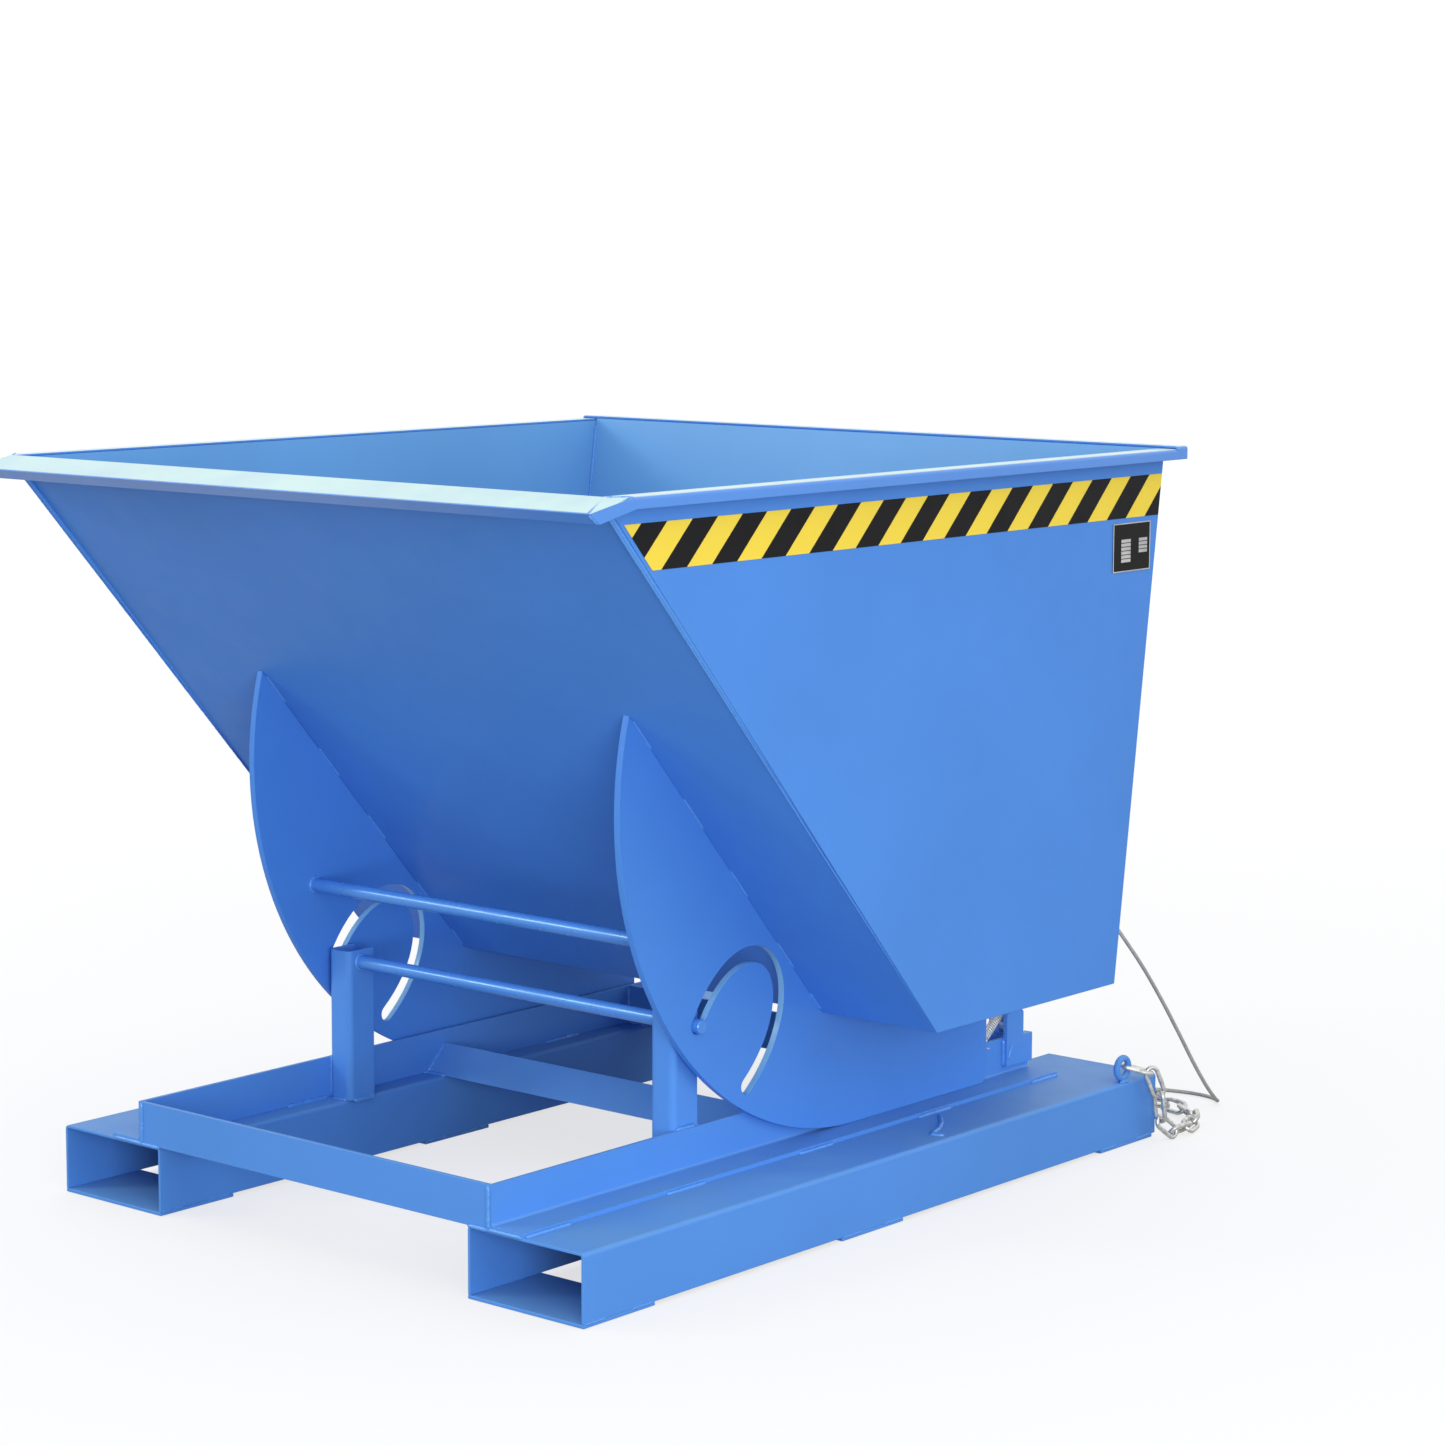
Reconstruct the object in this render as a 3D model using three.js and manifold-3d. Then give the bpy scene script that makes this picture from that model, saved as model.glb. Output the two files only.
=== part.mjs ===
// Self dumping hopper: a sheet steel tank on two rocker plates that roll on a base with fork pockets.
// Millimetres, +Z up, -Y is the side it dumps over, +X is the side with the hazard tape.
import * as THREE from "three";
import { mergeVertices } from "three/addons/utils/BufferGeometryUtils.js";
import Module from "manifold-3d";

const wasm = await Module();
wasm.setup();

// Clearances
const seatGap = 0.3;
const runGap = 0.35;
const cutOver = 20;
const weldTolerance = 0.001;

// Fork pockets: folded channels, open below, closed by three straps each
const pocketWidth = 200;
const pocketHeight = 92;
const pocketPastRail = 112;
const pocketSheet = 4;
const pocketBend = 6;
const pocketGauge = 590;
const strapSheet = 5;
const strapLength = 136;
const strapInset = 8;
const strapMiddle = 590;

// Rails: angles on the pockets that the rockers roll on
const angleLeg = 60;
const angleSheet = 6;
const angleRoot = 6;
const railPastAxle = 32;
const railInset = 37;

// Cross members between the rails
const crossFromRear = 264;
const ridgeLeg = 56;
const ridgeSheet = 5;
const ridgePlace = 603;

// Rockers: the arc rolls on the rail and the slot is the path of the fixed pin
const arcRadius = 497;
const arcCentre = 725;
const tipTravel = 80;
const rockerSheet = 10;
const rockerGuideGap = 4;
const rockerFromRear = 37;
const rockerCorner = 14;
const tieRodDiameter = 20;
const tieRodForward = 379;
const tieRodBelow = 187;

// Posts and guide rod
const rodDiameter = 20;
const rodReach = 10;
const rodForward = 340;
const rodBelow = 300;
const slotSpare = 1.5;
const postWidth = 43;
const postDepth = 50;
const postSheet = 5;
const postBend = 10;
const postOverRod = 18;

// Tank
const tankSheet = 4;
const tankHalf = 552;
const floorHeight = 274;
const floorFront = 655;
const floorRear = 1083;
const slopeAngle = 48.46;
const rearLean = 7.75;
const rimHeight = 1045;

// Rims and pour lip
const rimSheet = 3;
const rimReach = 25;
const rimDrop = 15.5;
const rearRimRise = 4;
const lipReach = 55;
const lipDrop = 16;
const lipTurnBack = 18;
const lipTurnDown = 14;
const lipMitre = 26;

// The share of the slope plate's run that its lower edge covers
const toeShare = 0.4;

// Latch at the right rear
const bracketSheet = 8;
const bracketLift = 11;
const bracketFoot = 65;
const bracketTop = 42;
const bracketRise = 46;
const innerBracketSheet = 6;
const innerBracketInset = 1;
const innerBracketHead = 20;
const innerBracketFoot = 28;
const axleDiameter = 20;
const axleHeight = 172;
const leverSheet = 8;
const leverWidth = 30;
const leverHeight = 373;
const leverLean = 5.15;
const bossRadius = 19;
const bossNeck = 50;
const spacerWall = 3.5;
const catchForward = 32;
const catchReach = 21.5;
const catchHeight = 128;
const catchDiameter = 16;
const catchWidth = 40;
const catchSheet = 5;
const noseDepth = 22;
const catchGap = 1;
const springWire = 2.4;
const springRadius = 6;
const springTurns = 16;
const springLead = 10;
const springHookBend = 4;
const springEyeRise = 40;
const springHoleDiameter = 4;
const springHoleForward = 75;
const springHoleBelow = 8;
const springTail = 5;

// Lug ring and safety chain
const lugRadius = 15;
const lugWire = 10;
const lugInset = 7;
const lugFromRear = 80;
const chainWire = 7;
const chainInner = 40;
const chainWidth = 26;
const chainGap = 0.4;

// Pull rope
const ropeDiameter = 6;
const ropeLayGap = 0.6;
const ropeCoilRadius = 45;
const ropeCoilTurns = 3;
const ropeCoilPlace = [120, 1400];
const ropeTail = 38;
const ringRadius = 15;
const ringWire = 5;
const ringSlope = 50;
const fittingEyeRadius = 7.5;
const fittingEyeWire = 4;
const fittingDiameter = 12;
const fittingLength = 26;
const handleDiameter = 24;
const handleLength = 100;
const handleWaist = 2;
const handleCollar = 8;
const collarDiameter = 12;

// Signs
const tapeSheet = 0.6;
const tapeWidth = 59;
const tapeBelowRim = 36;
const tapeFromSlope = 7;
const tapeFromRear = 2;
const dataWidth = 94;
const dataHeight = 70;
const dataSheet = 1;
const dataFromRear = 12;
const dataBelowTape = 7;

// Derived places
const rad = THREE.MathUtils.degToRad;
const pocketInside = pocketGauge / 2;
const pocketOutside = pocketInside + pocketWidth;
const pocketMiddle = pocketInside + pocketWidth / 2;
const deckHeight = strapSheet + pocketHeight;
const treadHeight = deckHeight + angleSheet;
const guideTop = deckHeight + angleLeg;
const railInside = pocketInside + railInset;
const railOutside = railInside + angleSheet;
const crossHalf = railInside - seatGap;
const rockerInside = railOutside + rockerGuideGap;
const rockerOutside = rockerInside + rockerSheet;
const centreHeight = treadHeight + arcRadius;
const rodPlace = arcCentre - rodForward;
const rodHeight = centreHeight - rodBelow;
const postTop = rodHeight + postOverRod;
const slopeRise = Math.tan(rad(slopeAngle));
const slopeAt = (z) => floorFront - (z - floorHeight) / slopeRise;
const rearAt = (z) => floorRear + (z - floorHeight) * Math.tan(rad(rearLean));
const rockerRear = floorRear - rockerFromRear;
const catchLevel = axleHeight + catchHeight;
const catchPlace = rearAt(catchLevel) + catchReach;
const axlePlace = catchPlace + catchForward;
const railLength = axlePlace + railPastAxle;
const pocketLength = railLength + pocketPastRail;
const crossRear = pocketLength - crossFromRear;
const bracketFront = railLength - bracketFoot;
const slopeSheet = tankSheet / Math.sin(rad(slopeAngle));
const rearSheet = tankSheet / Math.cos(rad(rearLean));
const wallInside = tankHalf - tankSheet;
const wallTop = rimHeight - rimSheet - seatGap;
const rearTop = wallTop + rearRimRise;
const lipBend = slopeAt(rimHeight) + slopeSheet;

const axisX = new THREE.Vector3(1, 0, 0);
const axisY = new THREE.Vector3(0, 1, 0);
const axisZ = new THREE.Vector3(0, 0, 1);


// A closed outline from [a, b] pairs.
function outline(points) {
  return new THREE.Shape(points.map(([a, b]) => new THREE.Vector2(a, b)));
}

// A round hole for an outline.
function roundHole(a, b, radius, target) {
  const hole = new THREE.Path();
  hole.absarc(a, b, radius, 0, 2 * Math.PI, true);
  target.holes.push(hole);
  return target;
}

// An outline in the YZ plane, made solid along X from x0 over the given width.
function alongX(shape, x0, width, curveSegments = 8) {
  const body = new THREE.ExtrudeGeometry(shape, { depth: width, bevelEnabled: false, curveSegments });
  const turn = new THREE.Matrix4().makeBasis(
    new THREE.Vector3(0, 1, 0),
    new THREE.Vector3(0, 0, 1),
    new THREE.Vector3(1, 0, 0),
  );
  return body.applyMatrix4(turn).translate(x0, 0, 0);
}

// An outline in the XZ plane, made solid along Y from y0 over the given length.
function alongY(shape, y0, length, curveSegments = 8) {
  const body = new THREE.ExtrudeGeometry(shape, { depth: length, bevelEnabled: false, curveSegments });
  const turn = new THREE.Matrix4().makeBasis(
    new THREE.Vector3(1, 0, 0),
    new THREE.Vector3(0, 0, 1),
    new THREE.Vector3(0, -1, 0),
  );
  return body.applyMatrix4(turn).translate(0, y0 + length, 0);
}

// An outline in the XY plane, made solid upwards from z0.
function alongZ(shape, z0, height, curveSegments = 8) {
  const body = new THREE.ExtrudeGeometry(shape, { depth: height, bevelEnabled: false, curveSegments });
  return body.translate(0, 0, z0);
}

// A block between two corners.
function block(low, high) {
  const size = high.map((v, i) => v - low[i]);
  const body = new THREE.BoxGeometry(...size);
  return body.translate(...low.map((v, i) => v + size[i] / 2));
}

// A round bar along X.
function barX(x0, x1, y, z, diameter, sides = 24) {
  const body = new THREE.CylinderGeometry(diameter / 2, diameter / 2, x1 - x0, sides);
  return body.rotateZ(Math.PI / 2).translate((x0 + x1) / 2, y, z);
}

// A tube along X, as a ring section turned round the X axis.
function tubeX(x0, x1, y, z, outer, inner, sides = 24) {
  const half = (x1 - x0) / 2;
  const ring = [
    [inner, -half],
    [outer, -half],
    [outer, half],
    [inner, half],
    [inner, -half],
  ];
  const body = new THREE.LatheGeometry(ring.map(([r, h]) => new THREE.Vector2(r, h)), sides);
  return body.rotateZ(-Math.PI / 2).translate((x0 + x1) / 2, y, z);
}

// A tube with flat ends through a list of points, its section carried along without twist.
function tubeThrough(points, radius, sides) {
  const last = points.length - 1;
  const ways = points.map((p, i) => {
    const next = points[Math.min(i + 1, last)];
    const before = points[Math.max(i - 1, 0)];
    return next.clone().sub(before).normalize();
  });
  const start = Math.abs(ways[0].z) < Math.SQRT1_2 ? axisZ : axisX;
  let side = start.clone().cross(ways[0]).normalize();
  const positions = [];
  const index = [];
  points.forEach((p, i) => {
    side = side.addScaledVector(ways[i], -side.dot(ways[i])).normalize();
    const up = ways[i].clone().cross(side);
    for (let j = 0; j < sides; j += 1) {
      const turn = (2 * Math.PI * j) / sides;
      const q = p.clone().addScaledVector(side, radius * Math.cos(turn));
      q.addScaledVector(up, radius * Math.sin(turn));
      positions.push(q.x, q.y, q.z);
      if (i < last) {
        const a = i * sides + j;
        const b = i * sides + ((j + 1) % sides);
        index.push(a, b, a + sides, b, b + sides, a + sides);
      }
    }
  });
  for (let j = 1; j < sides - 1; j += 1) {
    index.push(0, j + 1, j);
    index.push(last * sides, last * sides + j, last * sides + j + 1);
  }
  const body = new THREE.BufferGeometry();
  body.setAttribute("position", new THREE.Float32BufferAttribute(positions, 3));
  body.setIndex(index);
  return facingOut(body);
}

// The length of a line of points.
function lineLength(points) {
  return points.slice(1).reduce((sum, p, i) => sum + p.distanceTo(points[i]), 0);
}

// The least gap of a tube to itself, on the points of its centre line.
function leastGap(points, radius, skip) {
  let least = Infinity;
  for (let i = 0; i < points.length; i += 1) {
    for (let j = i + skip; j < points.length; j += 1) {
      least = Math.min(least, points[i].distanceTo(points[j]));
    }
  }
  return least - 2 * radius;
}

// A bar of round section along a flat closed loop of points, with up as the loop's normal.
function loopBar(points, up, radius, sides) {
  const count = points.length;
  const positions = [];
  const index = [];
  for (let i = 0; i < count; i += 1) {
    const ahead = points[(i + 1) % count];
    const behind = points[(i + count - 1) % count];
    const along = ahead.clone().sub(behind).normalize();
    const side = along.clone().cross(up).normalize();
    for (let j = 0; j < sides; j += 1) {
      const turn = (2 * Math.PI * j) / sides;
      const p = points[i].clone();
      p.addScaledVector(side, radius * Math.cos(turn)).addScaledVector(up, radius * Math.sin(turn));
      positions.push(p.x, p.y, p.z);
      const a = i * sides + j;
      const b = i * sides + ((j + 1) % sides);
      const c = ((i + 1) % count) * sides + j;
      const d = ((i + 1) % count) * sides + ((j + 1) % sides);
      index.push(a, c, b, b, c, d);
    }
  }
  const body = new THREE.BufferGeometry();
  body.setAttribute("position", new THREE.Float32BufferAttribute(positions, 3));
  body.setIndex(index);
  body.computeVertexNormals();
  return facingOut(body);
}

// Turns a closed body's faces round where they point inwards.
function facingOut(body) {
  const at = body.attributes.position;
  const a = new THREE.Vector3();
  const b = new THREE.Vector3();
  const c = new THREE.Vector3();
  let volume = 0;
  const index = body.index.array;
  for (let i = 0; i < index.length; i += 3) {
    a.fromBufferAttribute(at, index[i]);
    b.fromBufferAttribute(at, index[i + 1]);
    c.fromBufferAttribute(at, index[i + 2]);
    volume += a.dot(b.cross(c));
  }
  if (volume < 0) {
    for (let i = 0; i < index.length; i += 3) {
      [index[i + 1], index[i + 2]] = [index[i + 2], index[i + 1]];
    }
  }
  body.computeVertexNormals();
  return body;
}

// The bare positions of a geometry, its shared corners joined.
function welded(geometry) {
  const bare = geometry.clone();
  bare.deleteAttribute("normal");
  bare.deleteAttribute("uv");
  return mergeVertices(bare, weldTolerance);
}

function solid(geometry) {
  const merged = welded(geometry);
  const vertProperties = merged.attributes.position.array;
  const triVerts = new Uint32Array(merged.index.array);
  return new wasm.Manifold(new wasm.Mesh({ numProp: 3, vertProperties, triVerts }));
}

function fromSolid(made) {
  const mesh = made.getMesh();
  const body = new THREE.BufferGeometry();
  body.setAttribute("position", new THREE.BufferAttribute(new Float32Array(mesh.vertProperties), 3));
  body.setIndex(new THREE.BufferAttribute(new Uint32Array(mesh.triVerts), 1));
  body.computeVertexNormals();
  return body;
}

function cut(body, ...tools) {
  return fromSolid(tools.reduce((made, tool) => made.subtract(solid(tool)), solid(body)));
}

function join(body, ...more) {
  return fromSolid(more.reduce((made, next) => made.add(solid(next)), solid(body)));
}

// The mirror image across the centre plane.
function mirrorX(body) {
  const made = body.clone().applyMatrix4(new THREE.Matrix4().makeScale(-1, 1, 1));
  return facingOut(made.index ? made : welded(made));
}

const steelBlue = new THREE.MeshStandardMaterial({ color: 0x5290ea, roughness: 0.45, metalness: 0.1 });
const lipBlue = new THREE.MeshStandardMaterial({ color: 0x5f9bee, roughness: 0.35, metalness: 0.1 });
const zinc = new THREE.MeshStandardMaterial({ color: 0xb4b6b4, roughness: 0.35, metalness: 0.9 });
const tapeYellow = new THREE.MeshStandardMaterial({ color: 0xf5d94a, roughness: 0.5, metalness: 0 });
const plateBlack = new THREE.MeshStandardMaterial({ color: 0x22242a, roughness: 0.5, metalness: 0.2 });
const ropeGrey = new THREE.MeshStandardMaterial({ color: 0xa9aaa6, roughness: 0.5, metalness: 0.4 });
const gripBlack = new THREE.MeshStandardMaterial({ color: 0x1c1c1e, roughness: 0.6, metalness: 0 });

const hopper = new THREE.Group();
const base = new THREE.Group();
const tank = new THREE.Group();
const rope = new THREE.Group();
hopper.add(base, tank, rope);

function piece(name, body, material, parent) {
  const mesh = new THREE.Mesh(body, material);
  mesh.name = name;
  parent.add(mesh);
  return mesh;
}

// Adds a piece on the right and its mirror image on the left.
function pair(name, body, material, parent) {
  piece(`${name}_right`, body, material, parent);
  piece(`${name}_left`, mirrorX(body), material, parent);
}

// An upside-down U with rounded outer bends.
function pocketSection() {
  const half = pocketWidth / 2;
  const top = deckHeight;
  const inner = half - pocketSheet;
  const innerBend = pocketBend - pocketSheet;
  const s = new THREE.Shape();
  s.moveTo(-half, strapSheet);
  s.lineTo(-inner, strapSheet);
  s.lineTo(-inner, top - pocketSheet - innerBend);
  s.absarc(-inner + innerBend, top - pocketSheet - innerBend, innerBend, Math.PI, Math.PI / 2, true);
  s.lineTo(inner - innerBend, top - pocketSheet);
  s.absarc(inner - innerBend, top - pocketSheet - innerBend, innerBend, Math.PI / 2, 0, true);
  s.lineTo(inner, strapSheet);
  s.lineTo(half, strapSheet);
  s.lineTo(half, top - pocketBend);
  s.absarc(half - pocketBend, top - pocketBend, pocketBend, 0, Math.PI / 2, false);
  s.lineTo(-half + pocketBend, top);
  s.absarc(-half + pocketBend, top - pocketBend, pocketBend, Math.PI / 2, Math.PI, false);
  return s;
}

const pocketBody = alongY(pocketSection(), 0, pocketLength, 4).translate(pocketMiddle, 0, 0);
pair("fork_pocket", pocketBody, steelBlue, base);

const strapStarts = {
  front: 0,
  middle: strapMiddle - strapLength / 2,
  rear: pocketLength - strapInset - strapLength,
};
for (const [place, start] of Object.entries(strapStarts)) {
  const strap = block([pocketInside, start, 0], [pocketOutside, start + strapLength, strapSheet]);
  pair(`pocket_strap_${place}`, strap, steelBlue, base);
}

// An L with a root fillet: one leg along +a, the other up, corner at (a, b).
function angleSection(a, b, leg, sheet, root) {
  const s = new THREE.Shape();
  s.moveTo(a, b);
  s.lineTo(a + leg, b);
  s.lineTo(a + leg, b + sheet);
  s.lineTo(a + sheet + root, b + sheet);
  s.absarc(a + sheet + root, b + sheet + root, root, -Math.PI / 2, -Math.PI, true);
  s.lineTo(a + sheet, b + leg);
  s.lineTo(a, b + leg);
  return s;
}

const springHolePlace = axlePlace - springHoleForward;
const springHoleHeight = guideTop - springHoleBelow;
// The rail's root fillet stays below the rocker's lower edge clearance.
const railRoot = Math.min(angleRoot, rockerGuideGap - seatGap);
const railSection = angleSection(railInside, deckHeight, angleLeg, angleSheet, railRoot);
const railBody = alongY(railSection, 0, railLength, 3);
const springHole = barX(
  railInside - cutOver,
  railOutside + cutOver,
  springHolePlace,
  springHoleHeight,
  springHoleDiameter,
  12,
);
piece("rail_right", cut(railBody, springHole), steelBlue, base);
piece("rail_left", mirrorX(railBody), steelBlue, base);

const frontCross = angleSection(0, deckHeight, angleLeg, angleSheet, angleRoot);
piece("front_cross_member", alongX(frontCross, -crossHalf, 2 * crossHalf, 3), steelBlue, base);

// An angle laid as a ridge, with its corner up.
function ridgeSection() {
  const leg = ridgeLeg * Math.SQRT1_2;
  const sheet = ridgeSheet * Math.SQRT2;
  const low = deckHeight + seatGap;
  return outline([
    [ridgePlace - leg, low],
    [ridgePlace - leg + sheet, low],
    [ridgePlace, low + leg - sheet],
    [ridgePlace + leg - sheet, low],
    [ridgePlace + leg, low],
    [ridgePlace, low + leg],
  ]);
}
piece("middle_cross_member", alongX(ridgeSection(), -crossHalf, 2 * crossHalf), steelBlue, base);

const rearCross = angleSection(crossRear, deckHeight, angleLeg, angleSheet, angleRoot);
piece("rear_cross_member", alongX(rearCross, -crossHalf, 2 * crossHalf, 3), steelBlue, base);

// Posts: channels folded with round corners, open to the rear, bored for the guide rod
const postOutside = railInside - seatGap;
const postInside = postOutside - postWidth;
const postFront = rodPlace - postDepth / 2;
const postRear = postFront + postDepth;

function postSection() {
  const innerBend = postBend - postSheet;
  const s = new THREE.Shape();
  s.moveTo(postInside, postRear);
  s.lineTo(postInside, postFront + postBend);
  s.absarc(postInside + postBend, postFront + postBend, postBend, Math.PI, 1.5 * Math.PI, false);
  s.lineTo(postOutside - postBend, postFront);
  s.absarc(postOutside - postBend, postFront + postBend, postBend, 1.5 * Math.PI, 2 * Math.PI, false);
  s.lineTo(postOutside, postRear);
  s.lineTo(postOutside - postSheet, postRear);
  s.lineTo(postOutside - postSheet, postFront + postSheet + innerBend);
  s.absarc(postOutside - postBend, postFront + postBend, innerBend, 2 * Math.PI, 1.5 * Math.PI, true);
  s.lineTo(postInside + postBend, postFront + postSheet);
  s.absarc(postInside + postBend, postFront + postBend, innerBend, 1.5 * Math.PI, Math.PI, true);
  s.lineTo(postInside + postSheet, postRear);
  return s;
}
const rodBore = rodDiameter + 2 * runGap;
const postBore = barX(
  postInside - cutOver,
  postOutside + cutOver,
  rodPlace,
  rodHeight,
  rodBore,
);
const postBody = cut(alongZ(postSection(), deckHeight, postTop - deckHeight, 4), postBore);
pair("post", postBody, steelBlue, base);
piece(
  "guide_rod",
  barX(-rockerOutside - rodReach, rockerOutside + rodReach, rodPlace, rodHeight, rodDiameter),
  steelBlue,
  base,
);

// End plates on the rails' guide legs, stepped, wide at the weld and narrow above
function endPlateSection() {
  const low = treadHeight + bracketLift;
  const rear = bracketFront + bracketFoot;
  const step = guideTop + seatGap;
  const head = bracketFront + bracketTop;
  const top = guideTop + bracketRise;
  const corner = bracketTop / 4;
  return outline([
    [bracketFront, low],
    [rear, low],
    [rear, step],
    [head, step],
    [head, top - corner],
    [head - corner, top],
    [bracketFront + corner, top],
    [bracketFront, top - corner],
  ]);
}
const endPlateInside = railOutside + seatGap;
pair("rail_end_plate", alongX(endPlateSection(), endPlateInside, bracketSheet), steelBlue, base);

const latch = new THREE.Group();
base.add(latch);
const axleBore = axleDiameter / 2 + runGap;
const innerBracketInside = pocketInside + pocketBend + innerBracketInset;
const innerBracketOutside = innerBracketInside + innerBracketSheet;
const leverInside = innerBracketOutside + runGap;
const leverOutside = leverInside + leverSheet;
const axleEnd = endPlateInside - seatGap;

// A plate standing on the pocket with a round head about the axle.
function innerBracketSection() {
  const s = new THREE.Shape();
  s.moveTo(axlePlace - innerBracketFoot, deckHeight);
  s.lineTo(axlePlace + innerBracketFoot, deckHeight);
  s.lineTo(axlePlace + innerBracketHead, axleHeight);
  s.absarc(axlePlace, axleHeight, innerBracketHead, 0, Math.PI, false);
  return roundHole(axlePlace, axleHeight, axleBore, s);
}
piece(
  "latch_bracket",
  alongX(innerBracketSection(), innerBracketInside, innerBracketSheet),
  steelBlue,
  base,
);
piece(
  "latch_axle",
  barX(innerBracketInside - innerBracketSheet, axleEnd, axlePlace, axleHeight, axleDiameter),
  zinc,
  base,
);
piece(
  "axle_spacer",
  tubeX(leverOutside + runGap, axleEnd - runGap, axlePlace, axleHeight, axleBore + spacerWall, axleBore),
  zinc,
  latch,
);

// The release lever: a flat bar with a boss on the axle, a nose over the catch bar and a hole at the top.
const leverMid = (z) => axlePlace + (z - axleHeight) * Math.tan(rad(leverLean));
const leverTop = axleHeight + leverHeight;
const leverTopPlace = leverMid(leverTop);
const noseLow = catchLevel + catchDiameter / 2 + catchGap;
const noseTip = catchPlace - catchDiameter / 2;
const eyeRadius = leverWidth / 4;
const springEyeHeight = axleHeight + springEyeRise;
const springEyePlace = leverMid(springEyeHeight);

function leverSection() {
  const half = leverWidth / 2;
  const s = new THREE.Shape();
  const start = axleHeight + bossRadius;
  s.moveTo(leverMid(start) + half, start);
  s.lineTo(leverTopPlace + half, leverTop);
  s.absarc(leverTopPlace, leverTop, half, 0, Math.PI, false);
  s.lineTo(leverMid(noseLow + 2 * noseDepth) - half, noseLow + 2 * noseDepth);
  s.lineTo(noseTip, noseLow + noseDepth / 2);
  s.lineTo(noseTip, noseLow);
  s.lineTo(leverMid(noseLow) - half, noseLow);
  s.lineTo(leverMid(start) - half, start);
  s.absarc(axlePlace, axleHeight, bossRadius, rad(90 + bossNeck), rad(90 - bossNeck), false);
  roundHole(axlePlace, axleHeight, axleBore, s);
  roundHole(springEyePlace, springEyeHeight, springHoleDiameter / 2, s);
  return roundHole(leverTopPlace, leverTop, eyeRadius, s);
}
piece("release_lever", alongX(leverSection(), leverInside, leverSheet, 10), steelBlue, latch);

// The return spring: one wire from the hole in the rail's guide leg to the hole in the lever.
function springPoints() {
  const line = leverOutside + springRadius + springWire / 2 + runGap;
  const from = new THREE.Vector3(line, springHolePlace, springHoleHeight);
  const to = new THREE.Vector3(line, springEyePlace, springEyeHeight);
  const axis = to.clone().sub(from).normalize();
  const up = axisX.clone().cross(axis);
  const bendSteps = 4;
  const hook = (at, way, out, tip) => {
    const points = [at.clone().setX(tip)];
    const centre = at.clone().addScaledVector(out, springHookBend).addScaledVector(way, springHookBend);
    for (let i = 0; i <= bendSteps; i += 1) {
      const turn = (Math.PI / 2) * (i / bendSteps);
      const p = centre.clone().addScaledVector(way, -springHookBend * Math.cos(turn));
      points.push(p.addScaledVector(out, -springHookBend * Math.sin(turn)));
    }
    return points;
  };
  const back = axis.clone().negate();
  const low = hook(from, axis, axisX, railOutside + springTail);
  const high = hook(to, back, axisX.clone().negate(), leverInside - springWire);
  const start = from.clone().addScaledVector(axis, springLead);
  const end = to.clone().addScaledVector(axis, -springLead);
  const coil = [];
  const steps = 8 * springTurns;
  for (let i = 0; i <= steps; i += 1) {
    const turns = (i / steps) * springTurns;
    const swell = Math.min(1, 2 * turns, 2 * (springTurns - turns));
    const p = start.clone().lerp(end, i / steps);
    p.addScaledVector(axisX, swell * springRadius * Math.cos(2 * Math.PI * turns));
    coil.push(p.addScaledVector(up, swell * springRadius * Math.sin(2 * Math.PI * turns)));
  }
  return [...low, ...coil, ...high.reverse()];
}
piece("return_spring", tubeThrough(springPoints(), springWire / 2, 5), zinc, latch);

// Points round a circle in the plane of a and b about the centre.
function circle(centre, a, b, radius, count) {
  return Array.from({ length: count }, (_, i) => {
    const turn = (2 * Math.PI * i) / count;
    return centre
      .clone()
      .addScaledVector(a, radius * Math.cos(turn))
      .addScaledVector(b, radius * Math.sin(turn));
  });
}
const lugCentre = new THREE.Vector3(
  pocketOutside - lugInset,
  pocketLength - lugFromRear,
  deckHeight + lugRadius + lugWire / 2 + seatGap,
);
const lugLine = circle(lugCentre, axisY, axisZ, lugRadius, 24);
piece("chain_lug", loopBar(lugLine, axisX, lugWire / 2, 10), steelBlue, base);

// A long link's centre line: two straight runs and two half circles, along way with the flat square to n.
const chainBend = (chainWidth - chainWire) / 2;
const chainHalf = (chainInner + chainWire) / 2 - chainBend;
function linkPoints(centre, way, n) {
  const side = n.clone().cross(way).normalize();
  const points = [];
  const steps = 6;
  for (const sign of [1, -1]) {
    for (let i = 0; i <= steps; i += 1) {
      const turn = -Math.PI / 2 + (Math.PI * i) / steps;
      const p = centre.clone().addScaledVector(way, sign * (chainHalf + chainBend * Math.cos(turn)));
      points.push(p.addScaledVector(side, sign * chainBend * Math.sin(turn)));
    }
  }
  return points;
}

// The shortest way from one closed line of points to another.
function shortestWay(from, to) {
  const finer = (line) => line.flatMap((p, i) => {
    const next = line[(i + 1) % line.length];
    return Array.from({ length: 8 }, (_, k) => p.clone().lerp(next, k / 8));
  });
  const way = new THREE.Vector3();
  let least = Infinity;
  const ends = finer(to);
  for (const a of finer(from)) {
    for (const b of ends) {
      const length = a.distanceTo(b);
      if (length < least) {
        least = length;
        way.subVectors(b, a);
      }
    }
  }
  return way;
}

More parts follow.
